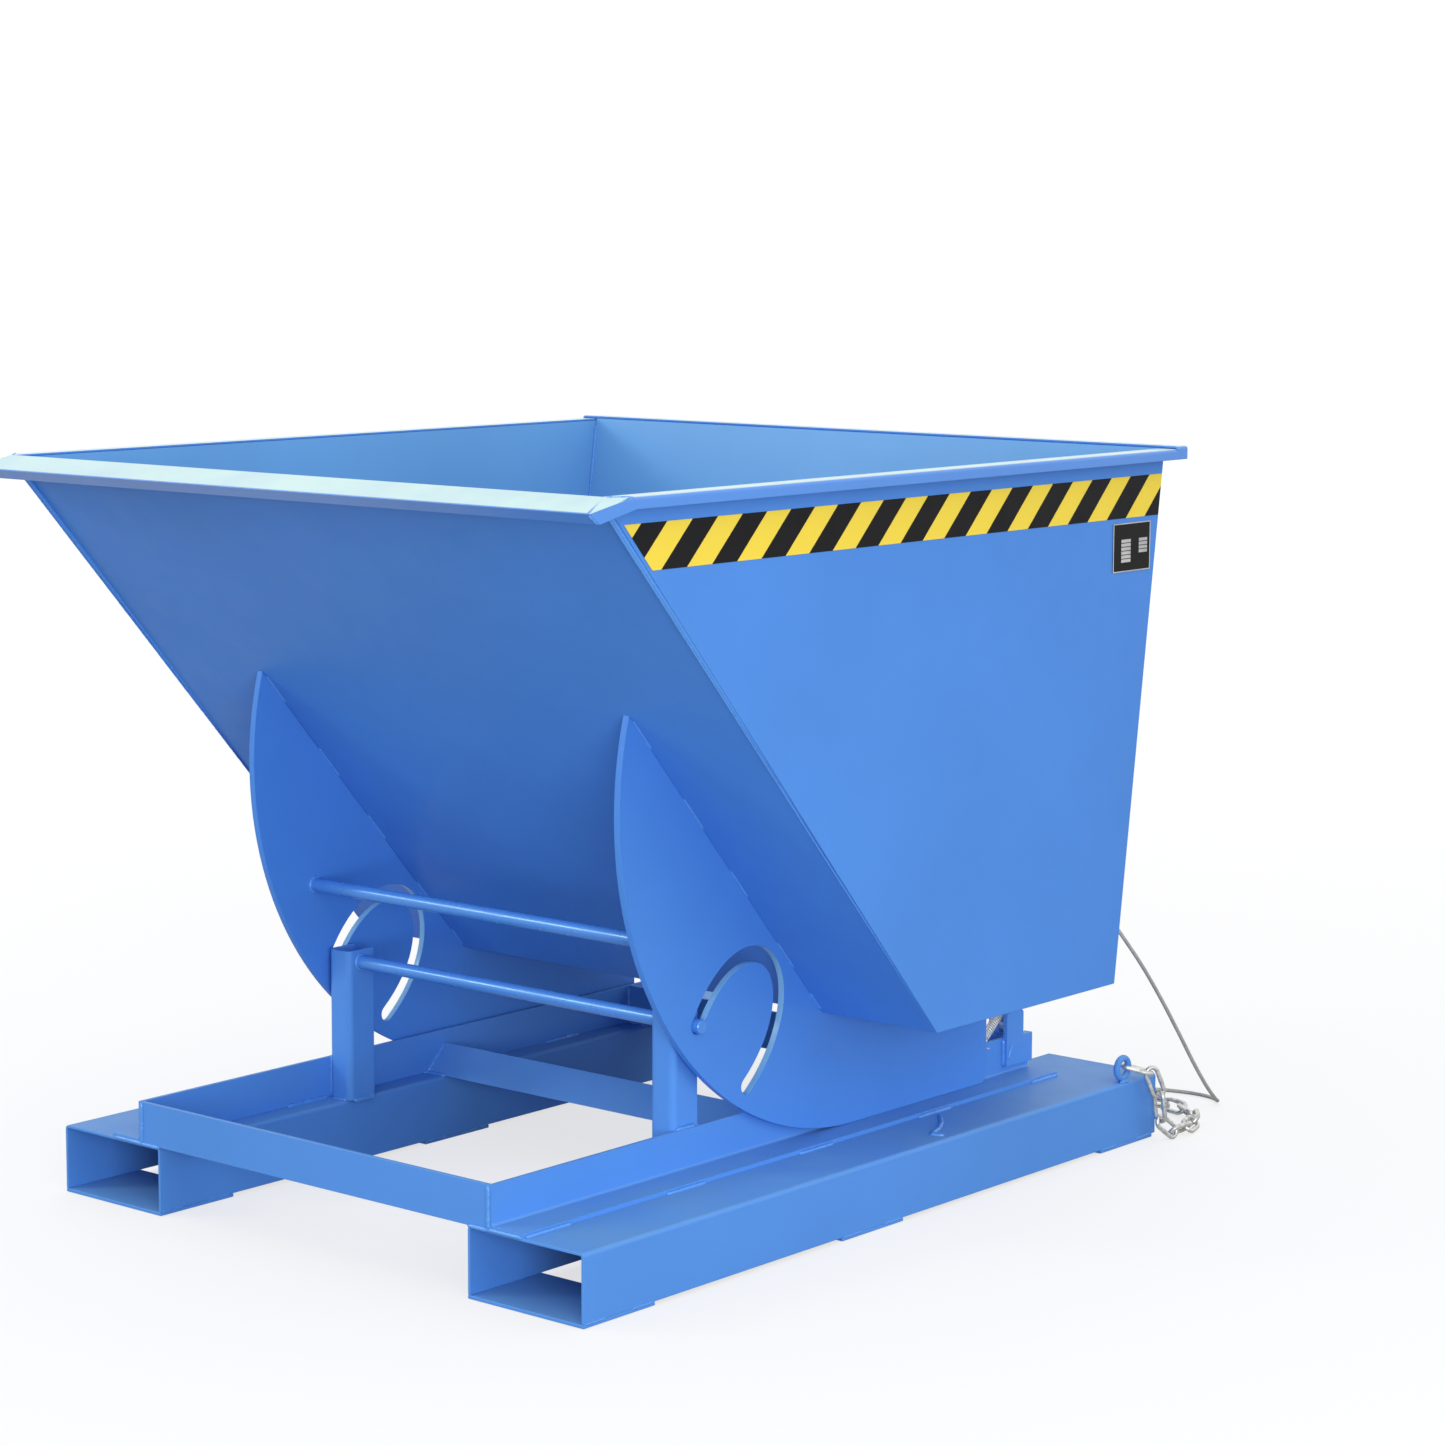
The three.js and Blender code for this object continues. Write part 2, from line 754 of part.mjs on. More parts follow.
// Each link's heading, dip and roll in degrees, from the lug to the floor and round behind the pocket
const chainRun = [
  [46, -16, 0],
  [58, -68, 90],
  [68, -83, -10],
  [78, -37, 78],
  [92, -3, -43],
  [108, 0, 43],
  [126, 0, -45],
  [146, 0, 45],
  [166, 0, -45],
  [182, 0, 45],
  [194, 0, -45],
];
let last = { way: axisY, normal: axisX, end: lugCentre, line: lugLine, wire: lugWire, bend: lugRadius };
chainRun.forEach(([heading, dip, roll], i) => {
  const level = new THREE.Vector3(Math.cos(rad(heading)), Math.sin(rad(heading)), 0);
  const way = level.clone().multiplyScalar(Math.cos(rad(dip))).addScaledVector(axisZ, Math.sin(rad(dip)));
  const normal = way.clone().cross(axisZ.clone().cross(level)).normalize().applyAxisAngle(way, rad(roll));
  const hinge = last.way.clone().cross(way).normalize();
  const own = normal.dot(hinge) ** 2;
  const other = last.normal.dot(hinge) ** 2;
  const lean = last.way.clone().multiplyScalar(own).addScaledVector(way, other).normalize();
  const pullWay = last.way.clone().add(way).normalize();
  const clear = (last.wire + chainWire) / 2 + chainGap;
  const near = last.end.clone().addScaledVector(lean, last.bend).addScaledVector(pullWay, chainBend - clear);
  const centre = near.addScaledVector(way, chainHalf);
  // A link is nudged off the last one and up off the floor until it clears both.
  for (let nudge = 0; nudge < 60; nudge += 1) {
    const line = linkPoints(centre, way, normal);
    const low = Math.min(...line.map((p) => p.z)) - chainWire / 2;
    if (low < 0) centre.z -= low;
    const off = shortestWay(last.line, linkPoints(centre, way, normal));
    const short = clear - off.length();
    if (short <= 0 && low >= 0) break;
    if (short > 0) centre.addScaledVector(off.normalize(), short + chainGap / 20);
  }
  const line = linkPoints(centre, way, normal);
  const name = `chain_link_${String(i + 1).padStart(2, "0")}`;
  piece(name, loopBar(line, normal, chainWire / 2, 8), zinc, base);
  const end = centre.clone().addScaledVector(way, chainHalf);
  last = { way, normal, end, line, wire: chainWire, bend: chainBend };
});

// A ring through the lever's top hole, and the rope's end fitting with its eye on the ring
const pull = new THREE.Vector3(0, Math.cos(rad(ringSlope)), -Math.sin(rad(ringSlope)));
const pullUp = axisX.clone().cross(pull);
const leverMiddle = (leverInside + leverOutside) / 2;
const ringSag = ringRadius - Math.sqrt(ringRadius ** 2 - (leverSheet / 2) ** 2);
const ringSeat = eyeRadius - ringWire / 2 - ringSag - seatGap;
const ringCentre = new THREE.Vector3(leverMiddle, leverTopPlace, leverTop);
ringCentre.addScaledVector(pull, ringSeat + ringRadius);
piece(
  "rope_ring",
  loopBar(circle(ringCentre, axisX, pull, ringRadius, 20), pullUp, ringWire / 2, 8),
  zinc,
  latch,
);
const eyeHook = (ringWire + fittingEyeWire) / 2 + seatGap;
const fittingEye = ringCentre.clone().addScaledVector(pull, ringRadius - eyeHook + fittingEyeRadius);
const fittingStart = fittingEye.clone().addScaledVector(pull, fittingEyeRadius);
const fittingEnd = fittingStart.clone().addScaledVector(pull, fittingLength);
piece(
  "rope_fitting",
  join(
    loopBar(circle(fittingEye, pull, pullUp, fittingEyeRadius, 16), axisX, fittingEyeWire / 2, 8),
    tubeThrough([fittingStart, fittingEnd], fittingDiameter / 2, 16),
  ),
  zinc,
  latch,
);

// The free rope: out of the fitting, down to the floor behind the frame, and along it to the coil
const ropeRadius = ropeDiameter / 2;
const ropeRoute = [
  [311, 1250, 461],
  [326, 1286, 405],
  [351, 1322, 345],
  [379, 1352, 288],
  [402, 1383, 232],
  [420, 1412, 176],
  [436, 1438, 121],
  [450, 1462, 70],
  [460, 1483, 33],
  [463, 1503, 11],
  [456, 1520, 4],
  [440, 1532, 3.2],
  [413, 1538, 3.1],
  [375, 1534, 3.1],
  [325, 1515, 3.1],
  [270, 1486, 3.1],
  [212, 1459, 3.1],
  [165, 1447, 3],
];
const coilCentre = new THREE.Vector3(ropeCoilPlace[0], ropeCoilPlace[1], ropeRadius);
const coilStart = coilCentre.clone().add(new THREE.Vector3(ropeDiameter, ropeCoilRadius, 0));
const ropeStart = fittingEnd.clone().addScaledVector(pull, seatGap);
const ropeEnd = coilStart.clone().addScaledVector(axisX, seatGap);
const ropeCurve = new THREE.CatmullRomCurve3(
  [
    ropeStart,
    ropeStart.clone().addScaledVector(pull, 2 * ropeDiameter),
    ...ropeRoute.map((p) => new THREE.Vector3(...p)),
    ropeEnd.clone().addScaledVector(axisX, ropeDiameter),
    ropeEnd,
  ],
  false,
  "centripetal",
);
function ropeSection() {
  const sides = 8;
  const turns = Array.from({ length: sides }, (_, i) => (2 * Math.PI * (i + 1 / 2)) / sides);
  return outline(turns.map((turn) => [ropeRadius * Math.cos(turn), ropeRadius * Math.sin(turn)]));
}
const ropeBody = new THREE.ExtrudeGeometry(ropeSection(), { steps: 76, extrudePath: ropeCurve });
piece("pull_rope", ropeBody, ropeGrey, rope);

// The coil: the rope winds in on the floor, climbs a layer where it turns back, and winds out on top.
function coilPoints() {
  const pitch = ropeDiameter + ropeLayGap;
  const total = 2 * ropeCoilTurns + 1 / 2;
  const steps = 24 * total;
  const points = [coilStart.clone()];
  for (let i = 0; i <= steps; i += 1) {
    const turns = (i / steps) * total;
    const r = ropeCoilRadius - pitch * (total / 2 - Math.abs(turns - total / 2));
    const climb = THREE.MathUtils.clamp((turns - ropeCoilTurns) * 2, 0, 1);
    const rise = THREE.MathUtils.clamp((turns - total) * 4 + 1, 0, 1);
    const a = Math.PI / 2 + 2 * Math.PI * turns;
    const top = handleDiameter / 2 - ropeRadius - pitch;
    const p = coilCentre.clone();
    points.push(p.add(new THREE.Vector3(r * Math.cos(a), r * Math.sin(a), climb * pitch + rise * top)));
  }
  const end = points[points.length - 1].clone();
  for (const share of [1 / 2, 1]) {
    points.push(end.clone().addScaledVector(axisX, share * ropeTail));
  }
  return points;
}
const coilLine = coilPoints();
const coilEnd = coilLine[coilLine.length - 1];
piece("rope_coil", tubeThrough(coilLine, ropeRadius, 6), ropeGrey, rope);

// The handle: a grip with a slight waist and round ends, and a collar where the rope enters it.
function handleProfile() {
  const r = handleDiameter / 2;
  const collar = collarDiameter / 2;
  const points = [
    new THREE.Vector2(0, 0),
    new THREE.Vector2(collar, 0),
    new THREE.Vector2(collar, handleCollar),
    new THREE.Vector2(r - handleWaist, handleCollar),
  ];
  const steps = 8;
  for (let i = 0; i <= steps; i += 1) {
    const share = i / steps;
    const h = handleCollar + handleWaist + share * (handleLength - handleCollar - 2 * handleWaist);
    points.push(new THREE.Vector2(r - handleWaist * Math.sin(Math.PI * share) ** 2, h));
  }
  points.push(new THREE.Vector2(r - handleWaist, handleLength));
  points.push(new THREE.Vector2(0, handleLength));
  return points;
}
const handleBody = new THREE.LatheGeometry(handleProfile(), 20);
handleBody.rotateZ(-Math.PI / 2).translate(coilEnd.x + seatGap, coilEnd.y, coilEnd.z);
piece("rope_handle", handleBody, gripBlack, rope);

// Front plate, floor and rear plate between the side plates, mitred at the bends
const plateHalf = wallInside - seatGap;
const mitre = seatGap;

// The lip falls forward from its bend; the slope plate and the side plates end just under it.
const lipFall = lipDrop / lipReach;
const lipUnder = rimSheet * Math.hypot(1, lipFall);
const lipStart = lipBend - floorFront - floorHeight / slopeRise;
function underLip(back) {
  const z = (rimHeight - lipUnder - seatGap - lipFall * (lipStart - back)) / (1 + lipFall / slopeRise);
  return [slopeAt(z) + back, z];
}

function frontPlateSection() {
  const low = floorHeight;
  return outline([
    [slopeAt(low), low],
    [slopeAt(low) + slopeSheet * toeShare, low],
    [slopeAt(low + tankSheet) + slopeSheet, low + tankSheet + mitre],
    underLip(slopeSheet),
    underLip(0),
  ]);
}
piece("tank_front", alongX(frontPlateSection(), -plateHalf, 2 * plateHalf), steelBlue, tank);

function floorSection() {
  const start = slopeAt(floorHeight) + slopeSheet * toeShare + 2 * mitre;
  const startTop = slopeAt(floorHeight + tankSheet) + slopeSheet + 2 * mitre;
  const end = rearAt(floorHeight) - rearSheet - mitre;
  return outline([
    [start, floorHeight],
    [end, floorHeight],
    [end, floorHeight + tankSheet],
    [Math.max(start, startTop), floorHeight + tankSheet],
  ]);
}
piece("tank_floor", alongX(floorSection(), -plateHalf, 2 * plateHalf), steelBlue, tank);

function rearSection() {
  return outline([
    [rearAt(floorHeight) - rearSheet, floorHeight],
    [rearAt(floorHeight), floorHeight],
    [rearAt(rearTop), rearTop],
    [rearAt(rearTop) - rearSheet, rearTop],
  ]);
}
piece("tank_rear", alongX(rearSection(), -plateHalf, 2 * plateHalf), steelBlue, tank);

function sideSection() {
  return outline([
    [slopeAt(floorHeight), floorHeight],
    [rearAt(floorHeight), floorHeight],
    [rearAt(wallTop), wallTop],
    [lipBend + slopeSheet, wallTop],
    underLip(slopeSheet / 2),
    underLip(0),
  ]);
}
const sideBody = alongX(sideSection(), wallInside, tankSheet);
piece("tank_side_right", sideBody, steelBlue, tank);

// The plug sits in the left side plate at the centre of the rocker arcs
const plugDiameter = 14;
const plugHole = barX(
  -tankHalf - cutOver,
  -wallInside + cutOver,
  arcCentre,
  centreHeight,
  plugDiameter + 2 * seatGap,
);
piece("tank_side_left", cut(mirrorX(sideBody), plugHole), steelBlue, tank);
piece(
  "side_plug",
  barX(-tankHalf, -wallInside, arcCentre, centreHeight, plugDiameter),
  steelBlue,
  tank,
);

// Pour lip: folded forward and down, then turned back under; its ends run back to the side rims' mitres
const rimOutside = tankHalf + rimReach;
const rimFaceInside = rimOutside - rimSheet;
const lipEnd = rimFaceInside - seatGap;
const mitreInside = tankHalf + seatGap;
const lipEdge = [lipBend - lipReach, rimHeight - lipDrop];
const lipTurn = [lipEdge[0] + lipTurnBack, lipEdge[1] - lipTurnDown];

// The point where the line from a along u meets the line from b along v.
function meeting(a, u, b, v) {
  const share = ((b[0] - a[0]) * v[1] - (b[1] - a[1]) * v[0]) / (u[0] * v[1] - u[1] * v[0]);
  return [a[0] + share * u[0], a[1] + share * u[1]];
}

function lipSection() {
  const turn = Math.hypot(lipTurnBack, lipTurnDown);
  const fall = Math.hypot(lipReach, lipDrop);
  const inward = [(rimSheet * lipTurnDown) / turn, (rimSheet * lipTurnBack) / turn];
  const downward = [(rimSheet * lipDrop) / fall, (rimSheet * lipReach) / fall];
  const turnInner = [lipTurn[0] + inward[0], lipTurn[1] + inward[1]];
  const bendInner = [lipBend + downward[0], rimHeight - downward[1]];
  return outline([
    [lipBend, rimHeight],
    lipEdge,
    lipTurn,
    turnInner,
    meeting(turnInner, [-lipTurnBack, lipTurnDown], bendInner, [-lipReach, -lipDrop]),
    bendInner,
  ]);
}

// The three-cornered end of the lip, outside the side plate, folded along its diagonal.
function lipCorner() {
  const top = [
    [mitreInside, lipBend, rimHeight],
    [lipEnd, lipBend + (lipMitre * (lipEnd - mitreInside)) / (rimOutside - mitreInside), rimHeight],
    [lipEnd, ...lipEdge],
    [mitreInside, ...lipEdge],
  ];
  const low = top.map(([x, y, z]) => [x, y, z - lipUnder]);
  const corners = [...top, ...low].flat();
  const faces = [
    [0, 2, 1],
    [0, 3, 2],
    [4, 5, 6],
    [4, 6, 7],
    [0, 1, 5],
    [0, 5, 4],
    [1, 2, 6],
    [1, 6, 5],
    [2, 3, 7],
    [2, 7, 6],
    [3, 0, 4],
    [3, 4, 7],
  ];
  const body = new THREE.BufferGeometry();
  body.setAttribute("position", new THREE.Float32BufferAttribute(corners, 3));
  body.setIndex(faces.flat());
  return facingOut(body);
}
const lipStrip = alongX(lipSection(), -lipEnd, 2 * lipEnd);
piece("pour_lip", join(lipStrip, lipCorner(), mirrorX(lipCorner())), lipBlue, tank);

// Side rims: a flange out from the side plate and a face down its edge, run on to close the lip's end
const rearRimFront = rearAt(rimHeight) - rearSheet;
const sideRimEnd = rearRimFront - seatGap;
const rimMitre = lipBend + rimSheet * lipFall + seatGap;

function rimFaceSection() {
  return outline([
    [sideRimEnd, rimHeight - rimDrop],
    [sideRimEnd, rimHeight],
    [rimMitre + lipMitre, rimHeight],
    lipEdge,
    lipTurn,
    [rimMitre + lipMitre + rimSheet, rimHeight - rimDrop],
  ]);
}
const rimFlange = outline([
  [wallInside, rimMitre],
  [mitreInside, rimMitre],
  [rimOutside, rimMitre + lipMitre],
  [rimOutside, sideRimEnd],
  [wallInside, sideRimEnd],
]);
const rimFlat = alongZ(rimFlange, rimHeight - rimSheet, rimSheet);
const rimFace = alongX(rimFaceSection(), rimFaceInside, rimSheet);
pair("side_rim", join(rimFlat, rimFace), lipBlue, tank);

// Rear rim: the same fold, a little higher, over the full width
function rearRimSection() {
  const top = rimHeight + rearRimRise;
  const back = rearAt(rimHeight) + rimReach;
  return outline([
    [rearRimFront, top - rimSheet],
    [rearRimFront, top],
    [back, top],
    [back, rimHeight - rimDrop],
    [back - rimSheet, rimHeight - rimDrop],
    [back - rimSheet, top - rimSheet],
  ]);
}
piece("rear_rim", alongX(rearRimSection(), -rimOutside, 2 * rimOutside), lipBlue, tank);

// The pin's centre seen from the rocker after rolling by an angle, as forward and up of the arc's centre.
function pinSeen(turn) {
  const ahead = rodForward - arcRadius * turn;
  const above = -rodBelow;
  return new THREE.Vector2(
    Math.cos(turn) * ahead - Math.sin(turn) * above,
    Math.sin(turn) * ahead + Math.cos(turn) * above,
  );
}

// The slot: the pin's path widened to the slot's width, with round ends.
function slotPath() {
  const half = rodDiameter / 2 + slotSpare;
  const spare = slotSpare / arcRadius;
  const last = rad(tipTravel) + spare;
  const count = 36;
  const left = [];
  const right = [];
  const way = (turn) => pinSeen(turn + spare).sub(pinSeen(turn - spare)).normalize();
  for (let i = 0; i <= count; i += 1) {
    const turn = (last * i) / count;
    const at = pinSeen(turn);
    const d = way(turn);
    left.push([at.x - half * d.y, at.y + half * d.x]);
    right.push([at.x + half * d.y, at.y - half * d.x]);
  }
  const cap = (turn, sign) => {
    const at = pinSeen(turn);
    const d = way(turn).multiplyScalar(sign);
    const points = [];
    for (let i = 1; i < 8; i += 1) {
      const a = (Math.PI * i) / 8;
      const x = half * (Math.sin(a) * d.x + Math.cos(a) * -d.y);
      const y = half * (Math.sin(a) * d.y + Math.cos(a) * d.x);
      points.push([at.x + x, at.y + y]);
    }
    return points;
  };
  const ring = [...left, ...cap(last, 1), ...right.reverse(), ...cap(0, -1)];
  return ring.map(([forward, up]) => [arcCentre - forward, centreHeight + up]);
}

// The arc meets the front plate's outer face at the rocker's upper tip: the turn to it from straight down.
const rockerEdge = arcRadius - seatGap;
const rockerSeat = seatGap / Math.sin(rad(slopeAngle));
function rockerTip() {
  const up = new THREE.Vector2(-Math.cos(rad(slopeAngle)), Math.sin(rad(slopeAngle)));
  const foot = new THREE.Vector2(slopeAt(floorHeight) - rockerSeat, floorHeight);
  const toCentre = new THREE.Vector2(arcCentre, centreHeight).sub(foot);
  const along = toCentre.dot(up);
  const chord = Math.sqrt(rockerEdge ** 2 - toCentre.lengthSq() + along ** 2);
  const tip = foot.addScaledVector(up, along + chord);
  return Math.atan2(arcCentre - tip.x, centreHeight - tip.y);
}

function rockerSection() {
  const tip = rockerTip();
  const s = new THREE.Shape();
  const top = floorHeight - seatGap;
  const steps = 48;
  s.moveTo(arcCentre, treadHeight + seatGap);
  s.lineTo(rockerRear - rockerCorner, treadHeight + seatGap);
  s.absarc(
    rockerRear - rockerCorner,
    treadHeight + seatGap + rockerCorner,
    rockerCorner,
    -Math.PI / 2,
    0,
    false,
  );
  s.lineTo(rockerRear, top);
  s.lineTo(slopeAt(top) - rockerSeat, top);
  for (let i = 0; i < steps; i += 1) {
    const a = tip * (1 - i / steps);
    s.lineTo(arcCentre - rockerEdge * Math.sin(a), centreHeight - rockerEdge * Math.cos(a));
  }
  const hole = new THREE.Path(slotPath().map(([a, b]) => new THREE.Vector2(a, b)));
  s.holes.push(hole);
  return s;
}
pair("rocker", alongX(rockerSection(), rockerInside, rockerSheet, 4), steelBlue, tank);

const tieEnd = rockerInside - seatGap;
piece(
  "tie_rod",
  barX(-tieEnd, tieEnd, arcCentre - tieRodForward, centreHeight - tieRodBelow, tieRodDiameter),
  steelBlue,
  tank,
);

// The catch bracket: a bent U on the rear plate, leaning with it, its ears to the rear.
function catchSection() {
  const end = catchPlace - rearAt(catchLevel) + catchDiameter / 2 + catchSheet;
  const half = catchWidth / 2;
  return outline([
    [-half, seatGap],
    [half, seatGap],
    [half, end],
    [half - catchSheet, end],
    [half - catchSheet, seatGap + catchSheet],
    [catchSheet - half, seatGap + catchSheet],
    [catchSheet - half, end],
    [-half, end],
  ]);
}
const catchBlank = alongZ(catchSection(), -catchDiameter, 2 * catchDiameter);
catchBlank.rotateX(-rad(rearLean)).translate(leverMiddle, rearAt(catchLevel), catchLevel);
const catchBore = barX(
  leverMiddle - catchWidth,
  leverMiddle + catchWidth,
  catchPlace,
  catchLevel,
  catchDiameter + 2 * seatGap,
);
piece("catch_bracket", cut(catchBlank, catchBore), steelBlue, tank);
piece(
  "catch_bar",
  barX(
    leverMiddle - catchWidth / 2 - catchSheet,
    leverMiddle + catchWidth / 2 + catchSheet,
    catchPlace,
    catchLevel,
    catchDiameter,
  ),
  zinc,
  tank,
);

const tapeTop = rimHeight - tapeBelowRim;
const tapeLow = tapeTop - tapeWidth;
function tapeSection() {
  return outline([
    [slopeAt(tapeLow) + tapeFromSlope, tapeLow],
    [rearAt(tapeLow) - tapeFromRear, tapeLow],
    [rearAt(tapeTop) - tapeFromRear, tapeTop],
    [slopeAt(tapeTop) + tapeFromSlope, tapeTop],
  ]);
}
piece("hazard_tape", alongX(tapeSection(), tankHalf + seatGap, tapeSheet), tapeYellow, tank);

const dataTop = tapeLow - dataBelowTape;
const dataRear = rearAt(dataTop - dataHeight) - dataFromRear;
piece(
  "data_plate",
  block(
    [tankHalf + seatGap, dataRear - dataWidth, dataTop - dataHeight],
    [tankHalf + seatGap + dataSheet, dataRear, dataTop],
  ),
  plateBlack,
  tank,
);

// The origin is on the floor, in the middle of the box round everything but the free rope.
hopper.updateMatrixWorld(true);
const box = new THREE.Box3().setFromObject(base, true).expandByObject(tank, true);
hopper.position.y = -(box.min.y + box.max.y) / 2;

// What the wound forms keep between their turns, and where the frame's front end lies
const coilGap = leastGap(coilLine, ropeRadius, 12);
const springGap = leastGap(springPoints(), springWire / 2, 6);
console.log(`least gap in the rope coil ${coilGap.toFixed(2)}, in the spring ${springGap.toFixed(2)}`);
console.log(`frame front end at y ${hopper.position.y.toFixed(2)}`);
console.log(`rope ${ropeCurve.getLength().toFixed(0)} long, its coil ${lineLength(coilLine).toFixed(0)} long`);

export default hopper;
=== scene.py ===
"""Looks of a self dumping hopper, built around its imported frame.

Lengths are metres in the frame's own axes: +Z up, -Y the dumping side, +X the side with the tape.
"""

from __future__ import annotations

import logging
import math
import random
from dataclasses import dataclass, field
from enum import Enum
from typing import Callable, Iterable, Sequence

import bmesh
import bpy
import numpy as np
from mathutils import Matrix, Vector

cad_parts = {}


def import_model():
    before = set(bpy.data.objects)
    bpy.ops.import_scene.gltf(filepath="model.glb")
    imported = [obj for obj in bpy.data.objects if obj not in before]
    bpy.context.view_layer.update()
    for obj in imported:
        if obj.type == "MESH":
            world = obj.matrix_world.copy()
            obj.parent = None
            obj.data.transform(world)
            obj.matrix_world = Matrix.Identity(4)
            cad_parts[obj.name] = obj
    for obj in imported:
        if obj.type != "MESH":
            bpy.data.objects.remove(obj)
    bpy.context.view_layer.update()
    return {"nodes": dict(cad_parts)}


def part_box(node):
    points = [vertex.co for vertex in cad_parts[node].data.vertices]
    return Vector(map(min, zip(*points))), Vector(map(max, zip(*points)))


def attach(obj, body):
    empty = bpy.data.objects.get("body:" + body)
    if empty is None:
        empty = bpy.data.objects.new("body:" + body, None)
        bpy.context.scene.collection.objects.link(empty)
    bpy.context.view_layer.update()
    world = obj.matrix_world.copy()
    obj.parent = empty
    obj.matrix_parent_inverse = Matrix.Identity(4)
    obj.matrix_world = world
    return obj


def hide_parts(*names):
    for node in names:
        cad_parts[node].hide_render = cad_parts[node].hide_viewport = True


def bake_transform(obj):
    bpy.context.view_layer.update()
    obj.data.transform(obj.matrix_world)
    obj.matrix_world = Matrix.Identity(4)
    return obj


Colour = tuple[float, float, float]
Point = tuple[float, float, float]
Pair = tuple[float, float]
Mesh = bmesh.types.BMesh
Piece = bpy.types.Object
Socket = bpy.types.NodeSocket

LOG = logging.getLogger("hopper")
TURN = 2.0 * math.pi
END_STEP = 1e-5
TANK_SHEET = 0.004
SLOPE = math.radians(48.46)

BLUE = (0.078, 0.268, 0.765)
DUSTY_BLUE = (0.100, 0.270, 0.600)


class Slot(Enum):
    """Material slots."""

    FRAME = "frame_paint"
    TANK = "tank_paint"
    RIM = "rim_paint"
    ZINC = "zinc"
    TAPE = "tape"
    PLATE = "plate"
    ROPE = "wire_rope"
    GRIP = "grip"


class Body(Enum):
    """The moving bodies of the frame."""

    BASE = "base"
    CARRIER = "roll_carrier"
    HOPPER = "hopper"
    LATCH = "latch"
    HANGING = "hanging_chain"
    LYING = "lying_chain"


class Graph:
    """Short calls for the nodes of a material or of the world."""

    def __init__(self, tree: bpy.types.NodeTree) -> None:
        """Starts with an empty tree."""
        self.tree = tree
        self.tree.nodes.clear()

    def add(self, kind: str, **inputs: object) -> bpy.types.Node:
        """Adds one node.

        Args:
            kind: the node's type.
            inputs: what its inputs take, by their names.

        Returns:
            The node.
        """
        node = self.tree.nodes.new(kind)
        for key, value in inputs.items():
            self.feed(node, key, value)
        return node

    def feed(self, node: bpy.types.Node, key: int | str, value: object) -> None:
        """Sets or links one input.

        Args:
            node: the node that takes the value.
            key: the input's name or number.
            value: a number, a colour, or the output socket to link.
        """
        if isinstance(value, Socket):
            self.tree.links.new(value, node.inputs[key])
        else:
            node.inputs[key].default_value = (*value, 1.0) if isinstance(value, tuple) else value

    def math(self, operation: str, a: object, b: object = 0.0) -> Socket:
        """One sum.

        Args:
            operation: the sum's name.
            a: its first value.
            b: its second value, where it has one.

        Returns:
            The result.
        """
        node = self.add("ShaderNodeMath")
        node.operation = operation
        self.feed(node, 0, a)
        self.feed(node, 1, b)
        return node.outputs[0]

    def seen_rays(self, glossy: float) -> Socket:
        """Tells what is looked at from what only gives light.

        Args:
            glossy: the share that reflections see.

        Returns:
            One for rays from the camera or through glass, and the share for reflected ones.
        """
        rays = self.add("ShaderNodeLightPath").outputs
        straight = self.math("MAXIMUM", rays["Is Camera Ray"], rays["Is Transmission Ray"])
        return self.math("MAXIMUM", straight, self.math("MULTIPLY", rays["Is Glossy Ray"], glossy))


class Recipe(Graph):
    """The nodes of one material, which end in a Principled shader."""

    def __init__(self, name: str) -> None:
        """Starts a material.

        Args:
            name: the material's name.
        """
        self.material = bpy.data.materials.new(name)
        self.material.use_nodes = True
        super().__init__(self.material.node_tree)
        self.shader = self.add("ShaderNodeBsdfPrincipled")
        self.add("ShaderNodeOutputMaterial", Surface=self.shader.outputs["BSDF"])
        self.coordinates = self.add("ShaderNodeTexCoord").outputs
        self.place = self.coordinates["Object"]

    def finish(self, inputs: dict[str, object]) -> bpy.types.Material:
        """Feeds the shader.

        Args:
            inputs: what its inputs take, by their names.

        Returns:
            The finished material.
        """
        for key, value in inputs.items():
            self.feed(self.shader, key, value)
        return self.material

    def axes(self, vector: Socket) -> bpy.types.NodeOutputs:
        """The X, Y and Z of a vector."""
        return self.add("ShaderNodeSeparateXYZ", Vector=vector).outputs

    def noise(self, per_metre: float, octaves: float = 2.0) -> Socket:
        """A noise from 0 to 1 on the object's own coordinates."""
        return self.add("ShaderNodeTexNoise", Vector=self.place, Scale=per_metre, Detail=octaves).outputs[0]

    def spread(self, value: Socket, window: Pair, values: Pair = (0.0, 1.0)) -> Socket:
        """Carries a value from one range to another, without leaving the second.

        Args:
            value: what is carried.
            window: the range that it comes from.
            values: the range that it goes to.

        Returns:
            The value there.
        """
        node = self.add("ShaderNodeMapRange")
        for key, item in enumerate((value, *window, *values)):
            self.feed(node, key, item)
        return node.outputs[0]

    def cloud(
        self,
        per_metre: float,
        octaves: float = 4.0,
        window: Pair = (0.3, 0.7),
        values: Pair = (0.0, 1.0),
    ) -> Socket:
        """A noise of which a part is spread over a range."""
        return self.spread(self.noise(per_metre, octaves), window, values)

    def mix(self, share: Socket, first: object, second: object) -> Socket:
        """Mixes two colours.

        Args:
            share: how much the second one has.
            first: a colour or a socket.
            second: a colour or a socket.

        Returns:
            The mixed colour.
        """
        node = self.add("ShaderNodeMix")
        node.data_type = "RGBA"
        for key, item in ((0, share), (6, first), (7, second)):
            self.feed(node, key, item)
        return node.outputs[2]

    def bump(self, height: Socket, distance: float, below: Socket | None = None) -> Socket:
        """Raises the surface.

        Args:
            height: a value from 0 to 1.
            distance: the height of 1, in metres.
            below: an earlier bump that this one lies on.

        Returns:
            The bumped normal.
        """
        node = self.add("ShaderNodeBump", Distance=distance, Height=height)
        if below is not None:
            self.feed(node, "Normal", below)
        return node.outputs[0]


